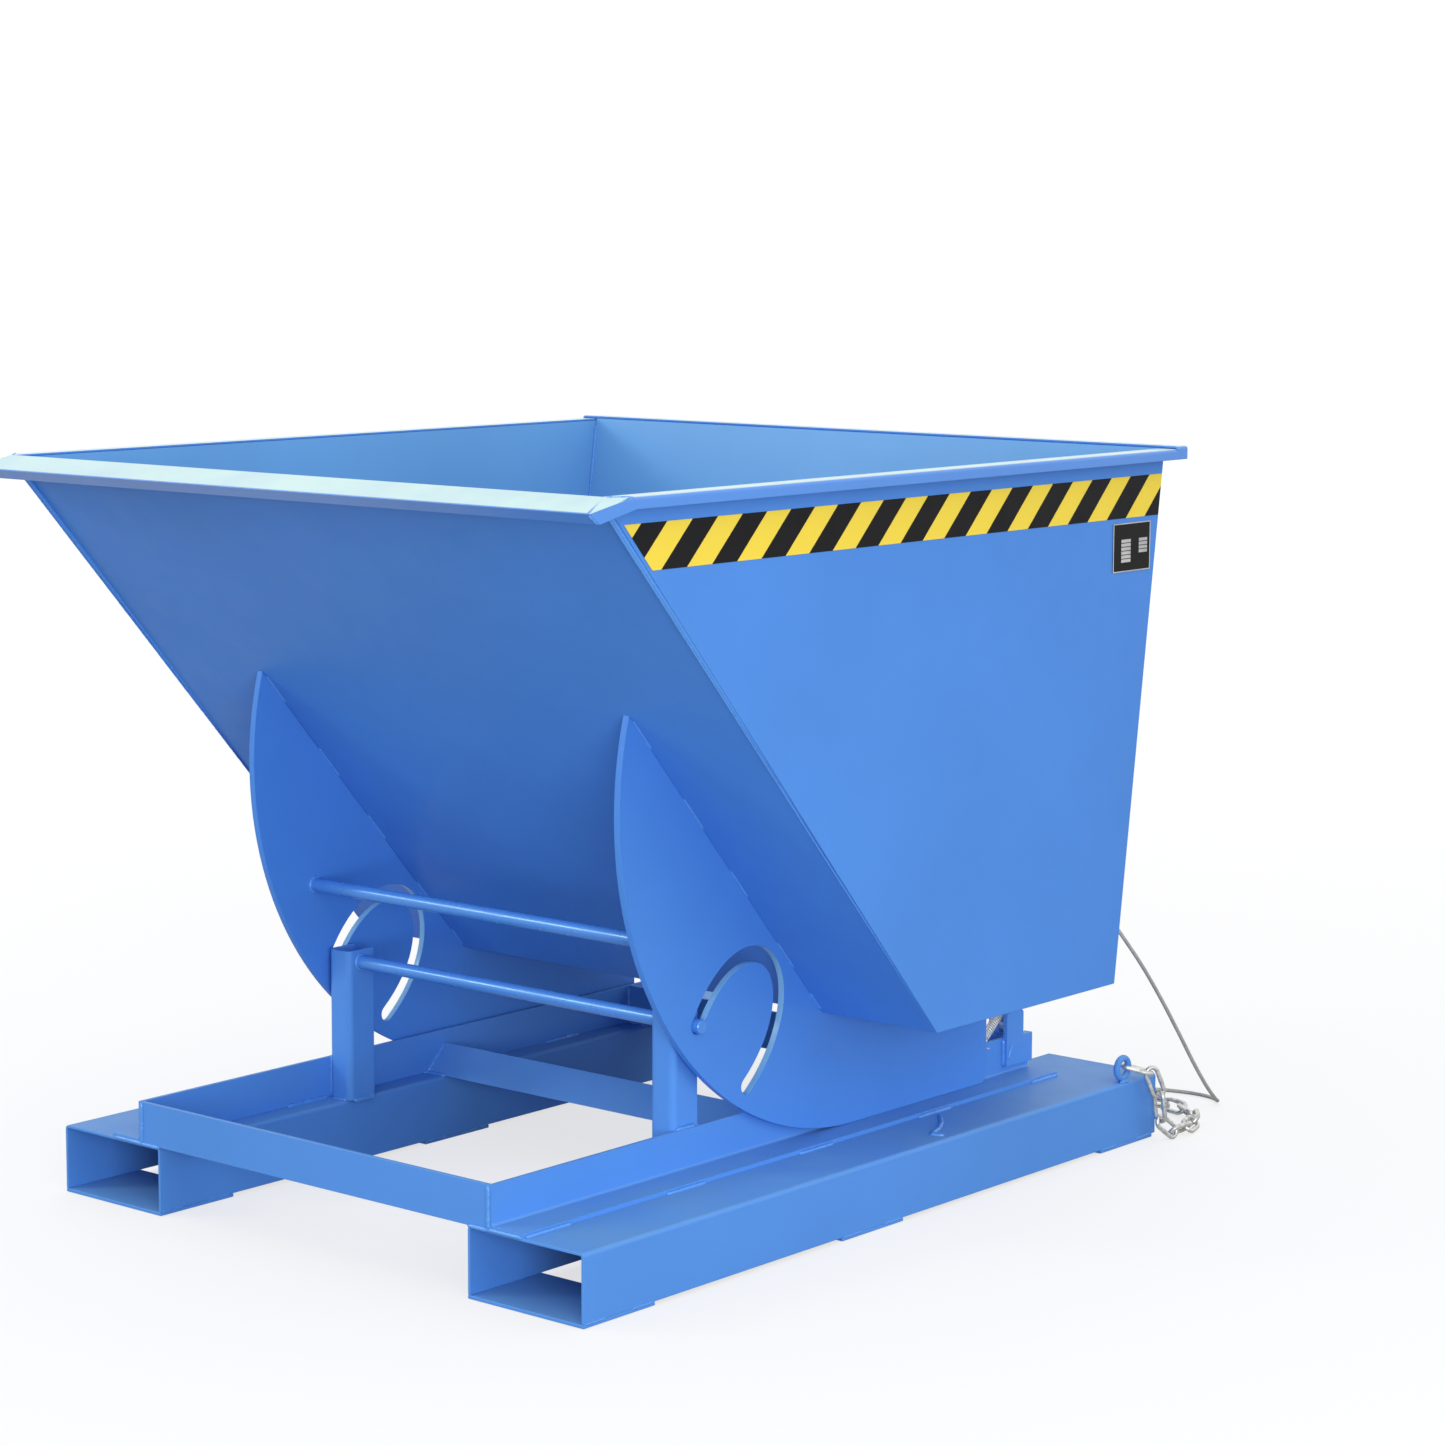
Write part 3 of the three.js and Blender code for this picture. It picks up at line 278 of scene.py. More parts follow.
def scaled(colour: Colour, factor: float) -> Colour:
    """A colour made darker or lighter."""
    return tuple(min(1.0, c * factor) for c in colour)


def around(middle: float, uneven: Pair) -> Pair:
    """The range of a value that strays down and up."""
    return middle + uneven[0], middle + uneven[1]


@dataclass(frozen=True)
class Finish:
    """A finish of the object, with its material's name."""

    name: str

    def build(self) -> bpy.types.Material:
        """Makes the material."""
        recipe = Recipe(self.name)
        return recipe.finish(self.inputs(recipe))

    def inputs(self, r: Recipe) -> dict[str, object]:
        """What the shader's inputs take, which each kind of finish says."""
        raise NotImplementedError


@dataclass(frozen=True)
class Paint(Finish):
    """A sprayed coat of gloss enamel over sheet steel."""

    colour: Colour
    # The tone and the fields below set a paler tone on upward faces: partly dirt, partly painted light.
    dust_and_light_tone: Colour
    dust_and_light_share: float
    roughness: float
    coat: float
    dust_and_light_low: float = 0.35
    dust_and_light_from: float = 0.75
    dust_and_light_full: float = 0.95
    dust_and_light_per_metre: float = 11.0
    dust_roughness: float = 0.25
    specular: float = 0.30
    sheen: Colour = (0.70, 0.95, 1.00)
    coat_roughness: float = 0.16
    uneven: Pair = (-0.05, 0.06)
    uneven_per_metre: float = 24.0
    patch_per_metre: float = 3.2
    patch_tones: Pair = (0.955, 1.045)
    speck_per_metre: float = 140.0
    speck_share: float = 0.12
    speck_tone: float = 0.8
    peel_per_metre: float = 520.0
    peel_height: float = 0.00006
    wave_per_metre: float = 5.0
    wave_height: float = 0.0005

    def inputs(self, r: Recipe) -> dict[str, object]:
        """Enamel with patchy tone, orange peel, sheet waviness, and a paler tone on what faces up, which is
        dirt and, on the rims and the frame, painted light.

        Args:
            r: makes the nodes.

        Returns:
            What each of the shader's inputs takes.
        """
        dark, light = (scaled(self.colour, tone) for tone in self.patch_tones)
        tone = r.mix(r.cloud(self.patch_per_metre), dark, light)
        specks = r.cloud(self.speck_per_metre, 3.0, (0.62, 0.75), (0.0, self.speck_share))
        tone = r.mix(specks, tone, scaled(self.colour, self.speck_tone))
        # Upward faces take a paler tone: dirt, plus painted light, which is a painted sky sheen on the rims
        # and a painted lift of the frame's shaded tops.
        facing = r.axes(r.coordinates["Normal"])["Z"]
        upward = r.spread(facing, (self.dust_and_light_from, self.dust_and_light_full), (0.0, self.dust_and_light_share))
        dust_and_light_patches = r.cloud(self.dust_and_light_per_metre, 5.0, (0.3, 0.65), (self.dust_and_light_low, 1.0))
        dust_and_light_mask = r.math("MULTIPLY", upward, dust_and_light_patches)
        rough = r.cloud(self.uneven_per_metre, values=around(self.roughness, self.uneven))
        wave = r.bump(r.noise(self.wave_per_metre, 1.0), self.wave_height)
        return {
            "Base Color": r.mix(dust_and_light_mask, tone, self.dust_and_light_tone),
            "Roughness": r.math("ADD", rough, r.math("MULTIPLY", dust_and_light_mask, self.dust_roughness)),
            "Specular IOR Level": self.specular,
            "Specular Tint": self.sheen,
            "Coat Weight": self.coat,
            "Coat Roughness": self.coat_roughness,
            "Normal": r.bump(r.noise(self.peel_per_metre), self.peel_height, wave),
        }


@dataclass(frozen=True)
class Galvanised(Finish):
    """Zinc on steel, with dull spangle and a little grime."""

    colour: Colour
    roughness: float
    grime: Colour = (0.12, 0.115, 0.10)
    metallic: float = 0.92
    uneven: Pair = (-0.07, 0.08)
    spangle_per_metre: float = 260.0
    spangle_tones: Pair = (0.86, 1.1)
    grime_per_metre: float = 70.0
    grime_share: float = 0.55
    grime_roughness: float = 0.3
    grain_per_metre: float = 900.0
    grain_height: float = 0.00008

    def inputs(self, r: Recipe) -> dict[str, object]:
        """Zinc that varies from crystal to crystal.

        Args:
            r: makes the nodes.

        Returns:
            What each of the shader's inputs takes.
        """
        cells = r.add("ShaderNodeTexVoronoi", Vector=r.place, Scale=self.spangle_per_metre)
        spangle = r.add("ShaderNodeSeparateColor", Color=cells.outputs["Color"]).outputs[0]
        dark, light = (scaled(self.colour, tone) for tone in self.spangle_tones)
        dirt = r.cloud(self.grime_per_metre, 5.0, (0.5, 0.75), (0.0, self.grime_share))
        rough = r.spread(spangle, (0.0, 1.0), around(self.roughness, self.uneven))
        return {
            "Base Color": r.mix(dirt, r.mix(spangle, dark, light), self.grime),
            "Metallic": self.metallic,
            "Roughness": r.math("ADD", rough, r.math("MULTIPLY", dirt, self.grime_roughness)),
            "Normal": r.bump(r.noise(self.grain_per_metre, 3.0), self.grain_height),
        }


@dataclass(frozen=True)
class StripedFilm(Finish):
    """Hazard film: slanting stripes in two colours on the side plate."""

    bright: Colour
    dark: Colour
    pitch: float
    start: float
    bright_share: float
    specular: float = 0.16
    roughness: Pair = (0.42, 0.54)
    roughness_per_metre: float = 30.0
    fade_per_metre: float = 9.0
    fade_share: float = 0.10
    faded_bright: float = 0.8
    faded_dark: float = 3.0
    grain_per_metre: float = 700.0
    grain_height: float = 0.00003
    whole_turns: float = 64.0

    def inputs(self, r: Recipe) -> dict[str, object]:
        """Stripes at 45 degrees, a little faded; the whole turns keep their count above nought.

        Args:
            r: makes the nodes.

        Returns:
            What each of the shader's inputs takes.
        """
        place = r.axes(r.place)
        slant = r.math("SUBTRACT", place["Y"], place["Z"])
        turn = r.math("DIVIDE", r.math("SUBTRACT", slant, self.start), self.pitch)
        share = r.math("FRACT", r.math("ADD", turn, self.whole_turns))
        is_dark = r.math("GREATER_THAN", share, self.bright_share)
        fade = r.cloud(self.fade_per_metre, window=(0.35, 0.7), values=(0.0, self.fade_share))
        bright = r.mix(fade, self.bright, scaled(self.bright, self.faded_bright))
        dark = r.mix(fade, self.dark, scaled(self.dark, self.faded_dark))
        return {
            "Base Color": r.mix(is_dark, bright, dark),
            "Roughness": r.cloud(self.roughness_per_metre, 3.0, values=self.roughness),
            "Specular IOR Level": self.specular,
            "Normal": r.bump(r.noise(self.grain_per_metre), self.grain_height),
        }


@dataclass(frozen=True)
class Plain(Finish):
    """A plain moulded or printed surface with fine grain."""

    colour: Colour
    roughness: float
    metallic: float
    grain_per_metre: float
    grain_height: float
    specular: float = 0.5
    uneven: Pair = (-0.05, 0.06)
    worn_per_metre: float = 40.0
    worn_tones: Pair = (0.9, 1.12)

    def inputs(self, r: Recipe) -> dict[str, object]:
        """A surface that is a little lighter and duller where it is worn.

        Args:
            r: makes the nodes.

        Returns:
            What each of the shader's inputs takes.
        """
        worn = r.cloud(self.worn_per_metre, window=(0.4, 0.7))
        fresh, rubbed = (scaled(self.colour, tone) for tone in self.worn_tones)
        return {
            "Base Color": r.mix(worn, fresh, rubbed),
            "Metallic": self.metallic,
            "Specular IOR Level": self.specular,
            "Roughness": r.spread(worn, (0.0, 1.0), around(self.roughness, self.uneven)),
            "Normal": r.bump(r.noise(self.grain_per_metre, 3.0), self.grain_height),
        }


@dataclass(frozen=True)
class Strands(Finish):
    """Zinc-coated wires laid in strands, darker in the grooves, on the rope's own UV map."""

    colour: Colour
    groove: Colour
    metallic: float = 0.85
    roughness: Pair = (0.36, 0.6)
    wires: float = 36.0
    twist_per_metre: float = 60.0
    wire_height: float = 0.00012
    grime_per_metre: float = 60.0
    grime_shares: Pair = (0.2, 0.8)

    def inputs(self, r: Recipe) -> dict[str, object]:
        """Wires that wind round the rope.

        Args:
            r: makes the nodes.

        Returns:
            What each of the shader's inputs takes.
        """
        place = r.axes(r.coordinates["UV"])
        round_it = r.math("MULTIPLY", place["X"], self.wires)
        along = r.math("MULTIPLY", place["Y"], self.twist_per_metre)
        wave = r.math("SINE", r.math("MULTIPLY", r.math("ADD", round_it, along), TURN))
        height = r.spread(wave, (-1.0, 1.0))
        low = r.spread(height, (0.0, 0.5), (1.0, 0.0))
        grime = r.math("MULTIPLY", low, r.cloud(self.grime_per_metre, 2.0, values=self.grime_shares))
        return {
            "Base Color": r.mix(grime, self.colour, self.groove),
            "Metallic": self.metallic,
            "Roughness": r.spread(grime, (0.0, 1.0), self.roughness),
            "Normal": r.bump(height, self.wire_height),
        }


class Look(Enum):
    """Every finish, with the slot that it mostly fills."""

    # Frame enamel: its blue is painted a little lighter than the tank's as a painted lift for its shaded
    # faces, and faces tilted up take a paler tone that is partly dirt and partly painted light.
    FRAME = Slot.FRAME, Paint(
        "frame_enamel", (0.090, 0.286, 0.765), (0.160, 0.360, 0.640), 0.75, 0.40, 0.05, 0.6, 0.3
    )
    TANK = Slot.TANK, Paint("tank_enamel", BLUE, DUSTY_BLUE, 0.30, 0.44, 0.05)
    # Inner faces of the tank: a paler, hazier blue that is painted light from the open top.
    INSIDE_LIT = Slot.TANK, Paint("tank_inside_painted_light", (0.175, 0.430, 0.770), DUSTY_BLUE, 0.30, 0.40, 0.20)
    # Slot cut edges: a paler blue that is a painted highlight.
    CUT_HIGHLIGHT = Slot.TANK, Paint("cut_edge_painted_highlight", (0.180, 0.430, 0.740), DUSTY_BLUE, 0.0, 0.30, 0.30)
    BAR = Slot.FRAME, Paint(
        "bar_enamel",
        BLUE,
        DUSTY_BLUE,
        0.0,
        0.26,
        0.0,
        specular=1.0,
        sheen=(0.55, 0.95, 1.0),
        peel_height=0.00002,
        wave_height=0.0001,
    )
    WELD = Slot.FRAME, Paint("weld_enamel", (0.09, 0.30, 0.78), DUSTY_BLUE, 0.0, 0.26, 0.0, specular=0.9)
    # Rim enamel: the pale cyan on its upward faces is a painted reflection of the white sky, with some
    # dirt.
    RIM = Slot.RIM, Paint("rim_enamel", BLUE, (0.60, 0.85, 0.78), 0.92, 0.34, 0.9, 0.8, coat_roughness=0.24)
    ZINC = Slot.ZINC, Galvanised("galvanised_steel", (0.74, 0.74, 0.72), 0.33)
    SPRING = Slot.ZINC, Galvanised("plated_spring_wire", (0.96, 0.94, 0.84), 0.36, (0.60, 0.57, 0.46), 0.25)
    TAPE = Slot.TAPE, StripedFilm(
        "hazard_film", (0.95, 0.72, 0.075), (0.006, 0.006, 0.007), 0.0962, 0.0384, 0.495
    )
    PLATE = Slot.PLATE, Plain("printed_plate", (0.009, 0.0095, 0.008), 0.42, 0.0, 600.0, 0.00002, 0.14)
    BARE = Slot.PLATE, Plain("bare_aluminium", (0.66, 0.66, 0.66), 0.40, 0.8, 900.0, 0.00002)
    ROPE = Slot.ROPE, Strands("wire_rope_strands", (0.55, 0.55, 0.53), (0.10, 0.10, 0.09))
    GRIP = Slot.GRIP, Plain("black_grip", (0.018, 0.018, 0.020), 0.52, 0.0, 1400.0, 0.00008)

    def __init__(self, slot: Slot, finish: Finish) -> None:
        """Parts a member's value into its slot and its finish."""
        self.slot = slot
        self.finish = finish


def at(x: float, y: float, z: float) -> Vector:
    """A point, or a step from one to another."""
    return Vector((x, y, z))


@dataclass(frozen=True)
class Box:
    """Where a CAD node lies at rest."""

    low: Vector
    high: Vector

    @classmethod
    def of(cls, node: str) -> Box:
        """The box of one node."""
        return cls(*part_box(node))

    @property
    def middle(self) -> Vector:
        """The box's middle."""
        return (self.low + self.high) / 2

    @property
    def radius(self) -> float:
        """Half its height, which is a bar's radius."""
        return (self.high.z - self.low.z) / 2


def smooth_mesh(name: str, bm: Mesh, angle: float = 35.0) -> Piece:
    """Turns a bmesh into an object that is smooth but for its sharp edges.

    Args:
        name: the piece's name.
        bm: the mesh, which is freed.
        angle: edges sharper than this many degrees stay sharp.

    Returns:
        The new object, in the scene.
    """
    mesh = bpy.data.meshes.new(name)
    bm.to_mesh(mesh)
    bm.free()
    mesh.polygons.foreach_set("use_smooth", [True] * len(mesh.polygons))
    mesh.set_sharp_from_angle(angle=math.radians(angle))
    piece = bpy.data.objects.new(name, mesh)
    bpy.context.scene.collection.objects.link(piece)
    return piece


def flat_faced(piece: Piece) -> Piece:
    """Lets the large faces set the shading, so that they look flat up to their rounded edges."""
    piece.modifiers.new("flat_faces", "WEIGHTED_NORMAL").keep_sharp = True
    return piece


def tube(
    points: Sequence[Vector],
    radii: Sequence[float] | float,
    sides: int,
    normal: Vector | None = None,
    closed: bool = False,
    swell: Callable[[float, float], float] | None = None,
) -> Mesh:
    """A round bar along a line, from a grid that is rolled up.

    Args:
        points: its centre line.
        radii: one radius, or one for each point.
        sides: faces round it.
        normal: the loop's normal, where the line is flat; else the section goes along untwisted.
        closed: whether the line is a loop.
        swell: a factor on the radius, by turn round it and length along it.

    Returns:
        A closed mesh with a UV map: turn round it, and metres along it.
    """
    line = list(points) + ([points[0]] if closed else [])
    sizes = [radii] * len(line) if isinstance(radii, float) else list(radii)
    last = len(line) - 1
    bm = bmesh.new()
    bmesh.ops.create_grid(bm, x_segments=last, y_segments=sides, size=0.5)
    uv = bm.loops.layers.uv.new("UVMap")
    ways = []
    for i in range(len(line)):
        ahead = line[1] if closed and i == last else line[min(i + 1, last)]
        behind = line[-2] if closed and i == 0 else line[max(i - 1, 0)]
        ways.append((ahead - behind).normalized())
    start = at(0.0, 0.0, 1.0) if abs(ways[0].z) < 0.7 else at(1.0, 0.0, 0.0)
    side = start.cross(ways[0]).normalized()
    frames = []
    runs = [0.0]
    for i, way in enumerate(ways):
        side = way.cross(normal).normalized() if normal else (side - way * side.dot(way)).normalized()
        frames.append((side.copy(), way.cross(side)))
        if i:
            runs.append(runs[-1] + (line[i] - line[i - 1]).length)
    grid = {}
    for vert in bm.verts:
        i = round((vert.co.x + 0.5) * last)
        j = round((vert.co.y + 0.5) * sides)
        grid[vert] = (i, j)
        turn = TURN * j / sides
        radius = sizes[i] * (swell(turn, runs[i]) if swell else 1.0)
        across, up = frames[i]
        vert.co = line[i] + across * (radius * math.cos(turn)) + up * (radius * math.sin(turn))
    for face in bm.faces:
        for loop in face.loops:
            i, j = grid[loop.vert]
            loop[uv].uv = (j / sides, runs[i])
    bmesh.ops.remove_doubles(bm, verts=bm.verts, dist=2e-6)
    rims = [e for e in bm.edges if e.is_boundary]
    if rims:
        bmesh.ops.holes_fill(bm, edges=rims, sides=sides)
    bmesh.ops.recalc_face_normals(bm, faces=bm.faces)
    return bm


def turned(stops: Sequence[Pair], axis: Vector, sides: int) -> Mesh:
    """A bar turned round a line along X.

    Args:
        stops: places along X, each with the bar's radius there.
        axis: a point on the line.
        sides: faces round it.

    Returns:
        The bar's mesh.
    """
    line = [at(x, axis.y, axis.z) for x, _ in stops]
    line[0].x -= END_STEP
    line[-1].x += END_STEP
    return tube(line, [radius for _, radius in stops], sides)


def gather(parts: Iterable[Mesh]) -> Mesh:
    """Puts several meshes into one.

    Args:
        parts: the meshes, which are freed.

    Returns:
        The one mesh.
    """
    whole = bmesh.new()
    for part in parts:
        scratch = bpy.data.meshes.new("scratch")
        part.to_mesh(scratch)
        part.free()
        whole.from_mesh(scratch)
        bpy.data.meshes.remove(scratch)
    return whole


def mirrored(points: Sequence[Vector]) -> list[Vector]:
    """The same line on the other side of the centre plane."""
    return [at(-p.x, p.y, p.z) for p in points]


def round_edges(bm: Mesh, sharp: float, width: float, segments: int) -> None:
    """Rounds a mesh's sharp edges.

    Args:
        bm: the mesh.
        sharp: edges sharper than this many degrees are rounded.
        width: how far the rounding reaches from each edge.
        segments: faces across each rounded edge.
    """
    edges = [e for e in bm.edges if e.is_manifold and e.calc_face_angle(0.0) > math.radians(sharp)]
    bmesh.ops.bevel(
        bm,
        geom=edges,
        offset=width,
        offset_type="OFFSET",
        segments=segments,
        profile=0.5,
        affect="EDGES",
        clamp_overlap=True,
        material=-1,
    )


def eased(node: Piece, width: float) -> Mesh:
    """A clean copy of a CAD node with its sharp edges rounded.

    Args:
        node: the CAD node.
        width: how far the rounding reaches from each edge.

    Returns:
        The copy's mesh.
    """
    bm = bmesh.new()
    bm.from_mesh(node.data)
    bmesh.ops.remove_doubles(bm, verts=bm.verts, dist=1e-5)
    bmesh.ops.dissolve_limit(
        bm,
        angle_limit=math.radians(0.5),
        use_dissolve_boundaries=False,
        verts=bm.verts,
        edges=bm.edges,
        delimit=set(),
    )
    round_edges(bm, 32.0, width, 2)
    return bm


def slab(low: Vector, high: Vector) -> Mesh:
    """A thin flat bar with eased edges.

    Args:
        low: its lower corner.
        high: its upper corner.

    Returns:
        The bar's mesh.
    """
    bm = bmesh.new()
    bmesh.ops.create_cube(bm, size=1.0)
    size = high - low
    bmesh.ops.scale(bm, vec=size, verts=bm.verts)
    bmesh.ops.translate(bm, vec=(low + high) / 2, verts=bm.verts)
    round_edges(bm, 45.0, min(size) / 4, 1)
    return bm


def axes_of(node: Piece) -> tuple[Vector, Vector, Vector, Vector]:
    """The middle and the main directions of a CAD node's own corners.

    Args:
        node: the CAD node.

    Returns:
        Its middle, then its longest, its next and its shortest direction.
    """
    corners = np.unique(np.round([v.co for v in node.data.vertices], 6), axis=0)
    middle = corners.mean(0)
    arms = corners - middle
    _, vectors = np.linalg.eigh(arms.T @ arms)
    across = Vector(vectors[:, 1])
    along = Vector(vectors[:, 2])
    return Vector(middle), along, across, along.cross(across).normalized()


def rounded_line(points: Sequence[Vector], steps: int) -> list[Vector]:
    """A centripetal curve through points.

    Args:
        points: what it goes through.
        steps: pieces between two points.

    Returns:
        Points along the curve.
    """
    padded = [points[0] * 2 - points[1], *points, points[-1] * 2 - points[-2]]
    line = [points[0].copy()]
    for corners in zip(padded, padded[1:], padded[2:], padded[3:]):
        knots = [0.0]
        for a, b in zip(corners, corners[1:]):
            knots.append(knots[-1] + math.sqrt(max((b - a).length, 1e-6)))
        for i in range(1, steps + 1):
            t = knots[1] + (knots[2] - knots[1]) * i / steps
            row = list(corners)
            for reach, first in ((1, 0), (2, 0), (1, 1)):
                blended = []
                for k, (a, b) in enumerate(zip(row, row[1:])):
                    t0 = knots[first + k]
                    t1 = knots[first + k + reach]
                    blended.append(a * ((t1 - t) / (t1 - t0)) + b * ((t - t0) / (t1 - t0)))
                row = blended
            line.append(row[0])
    return line


def even_line(points: Sequence[Vector], step: float) -> list[Vector]:
    """The same line with points an even step apart.

    Args:
        points: the line.
        step: about how far apart.

    Returns:
        The new points.
    """
    runs = [0.0]
    for a, b in zip(points, points[1:]):
        runs.append(runs[-1] + (b - a).length)
    wanted = np.linspace(0.0, runs[-1], round(runs[-1] / step) + 1)
    columns = [np.interp(wanted, runs, [p[k] for p in points]) for k in range(3)]
    return [Vector(p) for p in zip(*columns)]


class Welder:
    """Lays weld beads: rippled, a little uneven, tapered at both ends."""

    step = 0.0014
    sides = 9
    ripple = 0.0034
    ripple_share = 0.085
    stretches = 8
    stretch_share = 0.07
    taper_radii = 1.6
    tip = 0.0006
    tip_share = 0.06
    wander = 0.00018
    ring_gap = 0.0006
    ring_steps = 48
    ring_sides = 8
    ring_ripples = 14.0
    ring_ripple_share = 0.09

    def __init__(self, seed: int) -> None:
        """Starts with its own row of random numbers."""
        self.random = random.Random(seed)

    def bead(self, points: Sequence[Vector], radius: float) -> Mesh:
        """One bead along a line.

        Args:
            points: corners of the line.
            radius: the bead's radius.

        Returns:
            The bead's mesh.
        """
        line = [points[0]]
        for a, b in zip(points, points[1:]):
            count = max(2, round((b - a).length / self.step))
            line += [a.lerp(b, i / count) for i in range(1, count + 1)]
        total = (len(line) - 1) * self.step
        phase = self.random.uniform(0.0, TURN)
        uneven = [self.random.uniform(-1.0, 1.0) for _ in range(self.stretches)]
        radii = []
        for i in range(len(line)):
            run = i * self.step
            ends = min(1.0, (min(run, total - run) + self.tip) / (self.taper_radii * radius))
            slow = uneven[int((self.stretches - 0.01) * i / len(line))] * self.stretch_share
            wave = self.ripple_share * math.sin(TURN * run / self.ripple + phase)
            radii.append(radius * math.sqrt(max(self.tip_share, ends)) * (1.0 + wave + slow))
        jitter = [Vector([self.random.uniform(-1.0, 1.0) * self.wander for _ in range(3)]) for _ in line]
        soft = [p + (jitter[i - 1] + jitter[i]) / 2 for i, p in enumerate(line)]
        return tube(soft, radii, self.sides)

    def both(self, lines: Iterable[Sequence[Vector]], radius: float) -> list[Mesh]:
        """Beads on lines of the right side, and then on their mirror images."""
        right = [list(line) for line in lines]
        return [self.bead(line, radius) for line in right + [mirrored(line) for line in right]]

    def rings(self, bar: Box, x: float, bead: float) -> list[Mesh]:
        """Beads round a bar along X, on both sides of the centre plane.

        Args:
            bar: the bar's box.
            x: the first ring's place.
            bead: the beads' radius.

        Returns:
            The two beads' meshes.
        """
        rings = []
        turns = [TURN * i / self.ring_steps for i in range(self.ring_steps)]
        sizes = [bead * (1.0 + self.ring_ripple_share * math.sin(self.ring_ripples * t)) for t in turns]
        for place in (x, -x):
            centre = at(place, bar.middle.y, bar.middle.z)
            reach = bar.radius + self.ring_gap
            line = [centre + at(0.0, math.cos(t), math.sin(t)) * reach for t in turns]
            normal = at(1.0, 0.0, 0.0)
            rings.append(tube(line, sizes + sizes[:1], self.ring_sides, normal=normal, closed=True))
        return rings


@dataclass
class Shop:
    """What every sub-assembly is built with: the frame's nodes, and the materials made so far."""

    nodes: dict[str, Piece]
    made: dict[Look, bpy.types.Material] = field(default_factory=dict)
    bar_sides: int = 48
    ring_steps: int = 64
    ring_sides: int = 20

    def material(self, look: Look) -> bpy.types.Material:
        """A finish's material, made once."""
        if look not in self.made:
            self.made[look] = look.finish.build()
        return self.made[look]

    def dress(self, piece: Piece, look: Look, slot: Slot | None = None) -> Piece:
        """Gives a piece its finish.

        Args:
            piece: the mesh.
            look: its finish.
            slot: not used.

        Returns:
            The same piece.
        """
        piece.data.materials.clear()
        piece.data.materials.append(self.material(look))
        return piece

    def place(
        self,
        piece: Piece,
        look: Look,
        body: Body,
        nodes: Iterable[str] = (),
        slot: Slot | None = None,
    ) -> Piece:
        """Gives a piece its finish, its body and the nodes that it stands for.

        Args:
            piece: the mesh.
            look: its finish.
            body: the body that it moves with.
            nodes: CAD nodes that it stands for.
            slot: its slot, where it isn't the finish's own.

        Returns:
            The same piece.
        """
        self.dress(piece, look, slot)
        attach(piece, body.value)
        if nodes:
            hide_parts(*nodes)
        LOG.info("%s rides on %s, %d faces", piece.name, body.value, len(piece.data.polygons))
        return piece

    def sheet(self, node: str, width: float, look: Look, body: Body) -> Piece:
        """A CAD node's clean copy with eased edges, standing for it."""
        piece = flat_faced(smooth_mesh(f"{node}_plate", eased(self.nodes[node], width)))
        return self.place(piece, look, body, [node])

    def bar(self, node: str, chamfer: float, look: Look, body: Body, slot: Slot | None = None) -> Piece:
        """A round bar along X with chamfered ends, in the box of its CAD node.

        Args:
            node: the CAD node.
            chamfer: the chamfers' width.
            look: its finish.
            body: the body that it moves with.
            slot: its slot, where it isn't the finish's own.

        Returns:
            The bar.
        """
        box = Box.of(node)
        radius = box.radius
        stops = [
            (box.low.x, 0.0),
            (box.low.x, radius - chamfer),
            (box.low.x + chamfer, radius),
            (box.high.x - chamfer, radius),
            (box.high.x, radius - chamfer),
            (box.high.x, 0.0),
        ]
        piece = smooth_mesh(f"{node}_bar", turned(stops, box.middle, self.bar_sides))
        return self.place(piece, look, body, [node], slot)

    def ring(self, node: str, radius: float, wire: float, look: Look, body: Body) -> Piece:
        """A finer ring where a CAD ring lies.

        Args:
            node: the CAD ring.
            radius: the ring's radius to the middle of its wire.
            wire: the wire's radius.
            look: its finish.
            body: the body that it moves with.

        Returns:
            The ring.
        """
        middle, along, across, normal = axes_of(self.nodes[node])
        turns = [TURN * i / self.ring_steps for i in range(self.ring_steps)]
        line = [middle + (along * math.cos(t) + across * math.sin(t)) * radius for t in turns]
        bm = tube(line, wire, self.ring_sides, normal=normal, closed=True)
        return self.place(smooth_mesh(f"{node}_round", bm), look, body, [node])

    def welds(self, name: str, beads: Iterable[Mesh], slot: Slot, body: Body) -> Piece:
        """One piece from several painted beads."""
        return self.place(smooth_mesh(name, gather(beads), 80.0), Look.WELD, body, slot=slot)


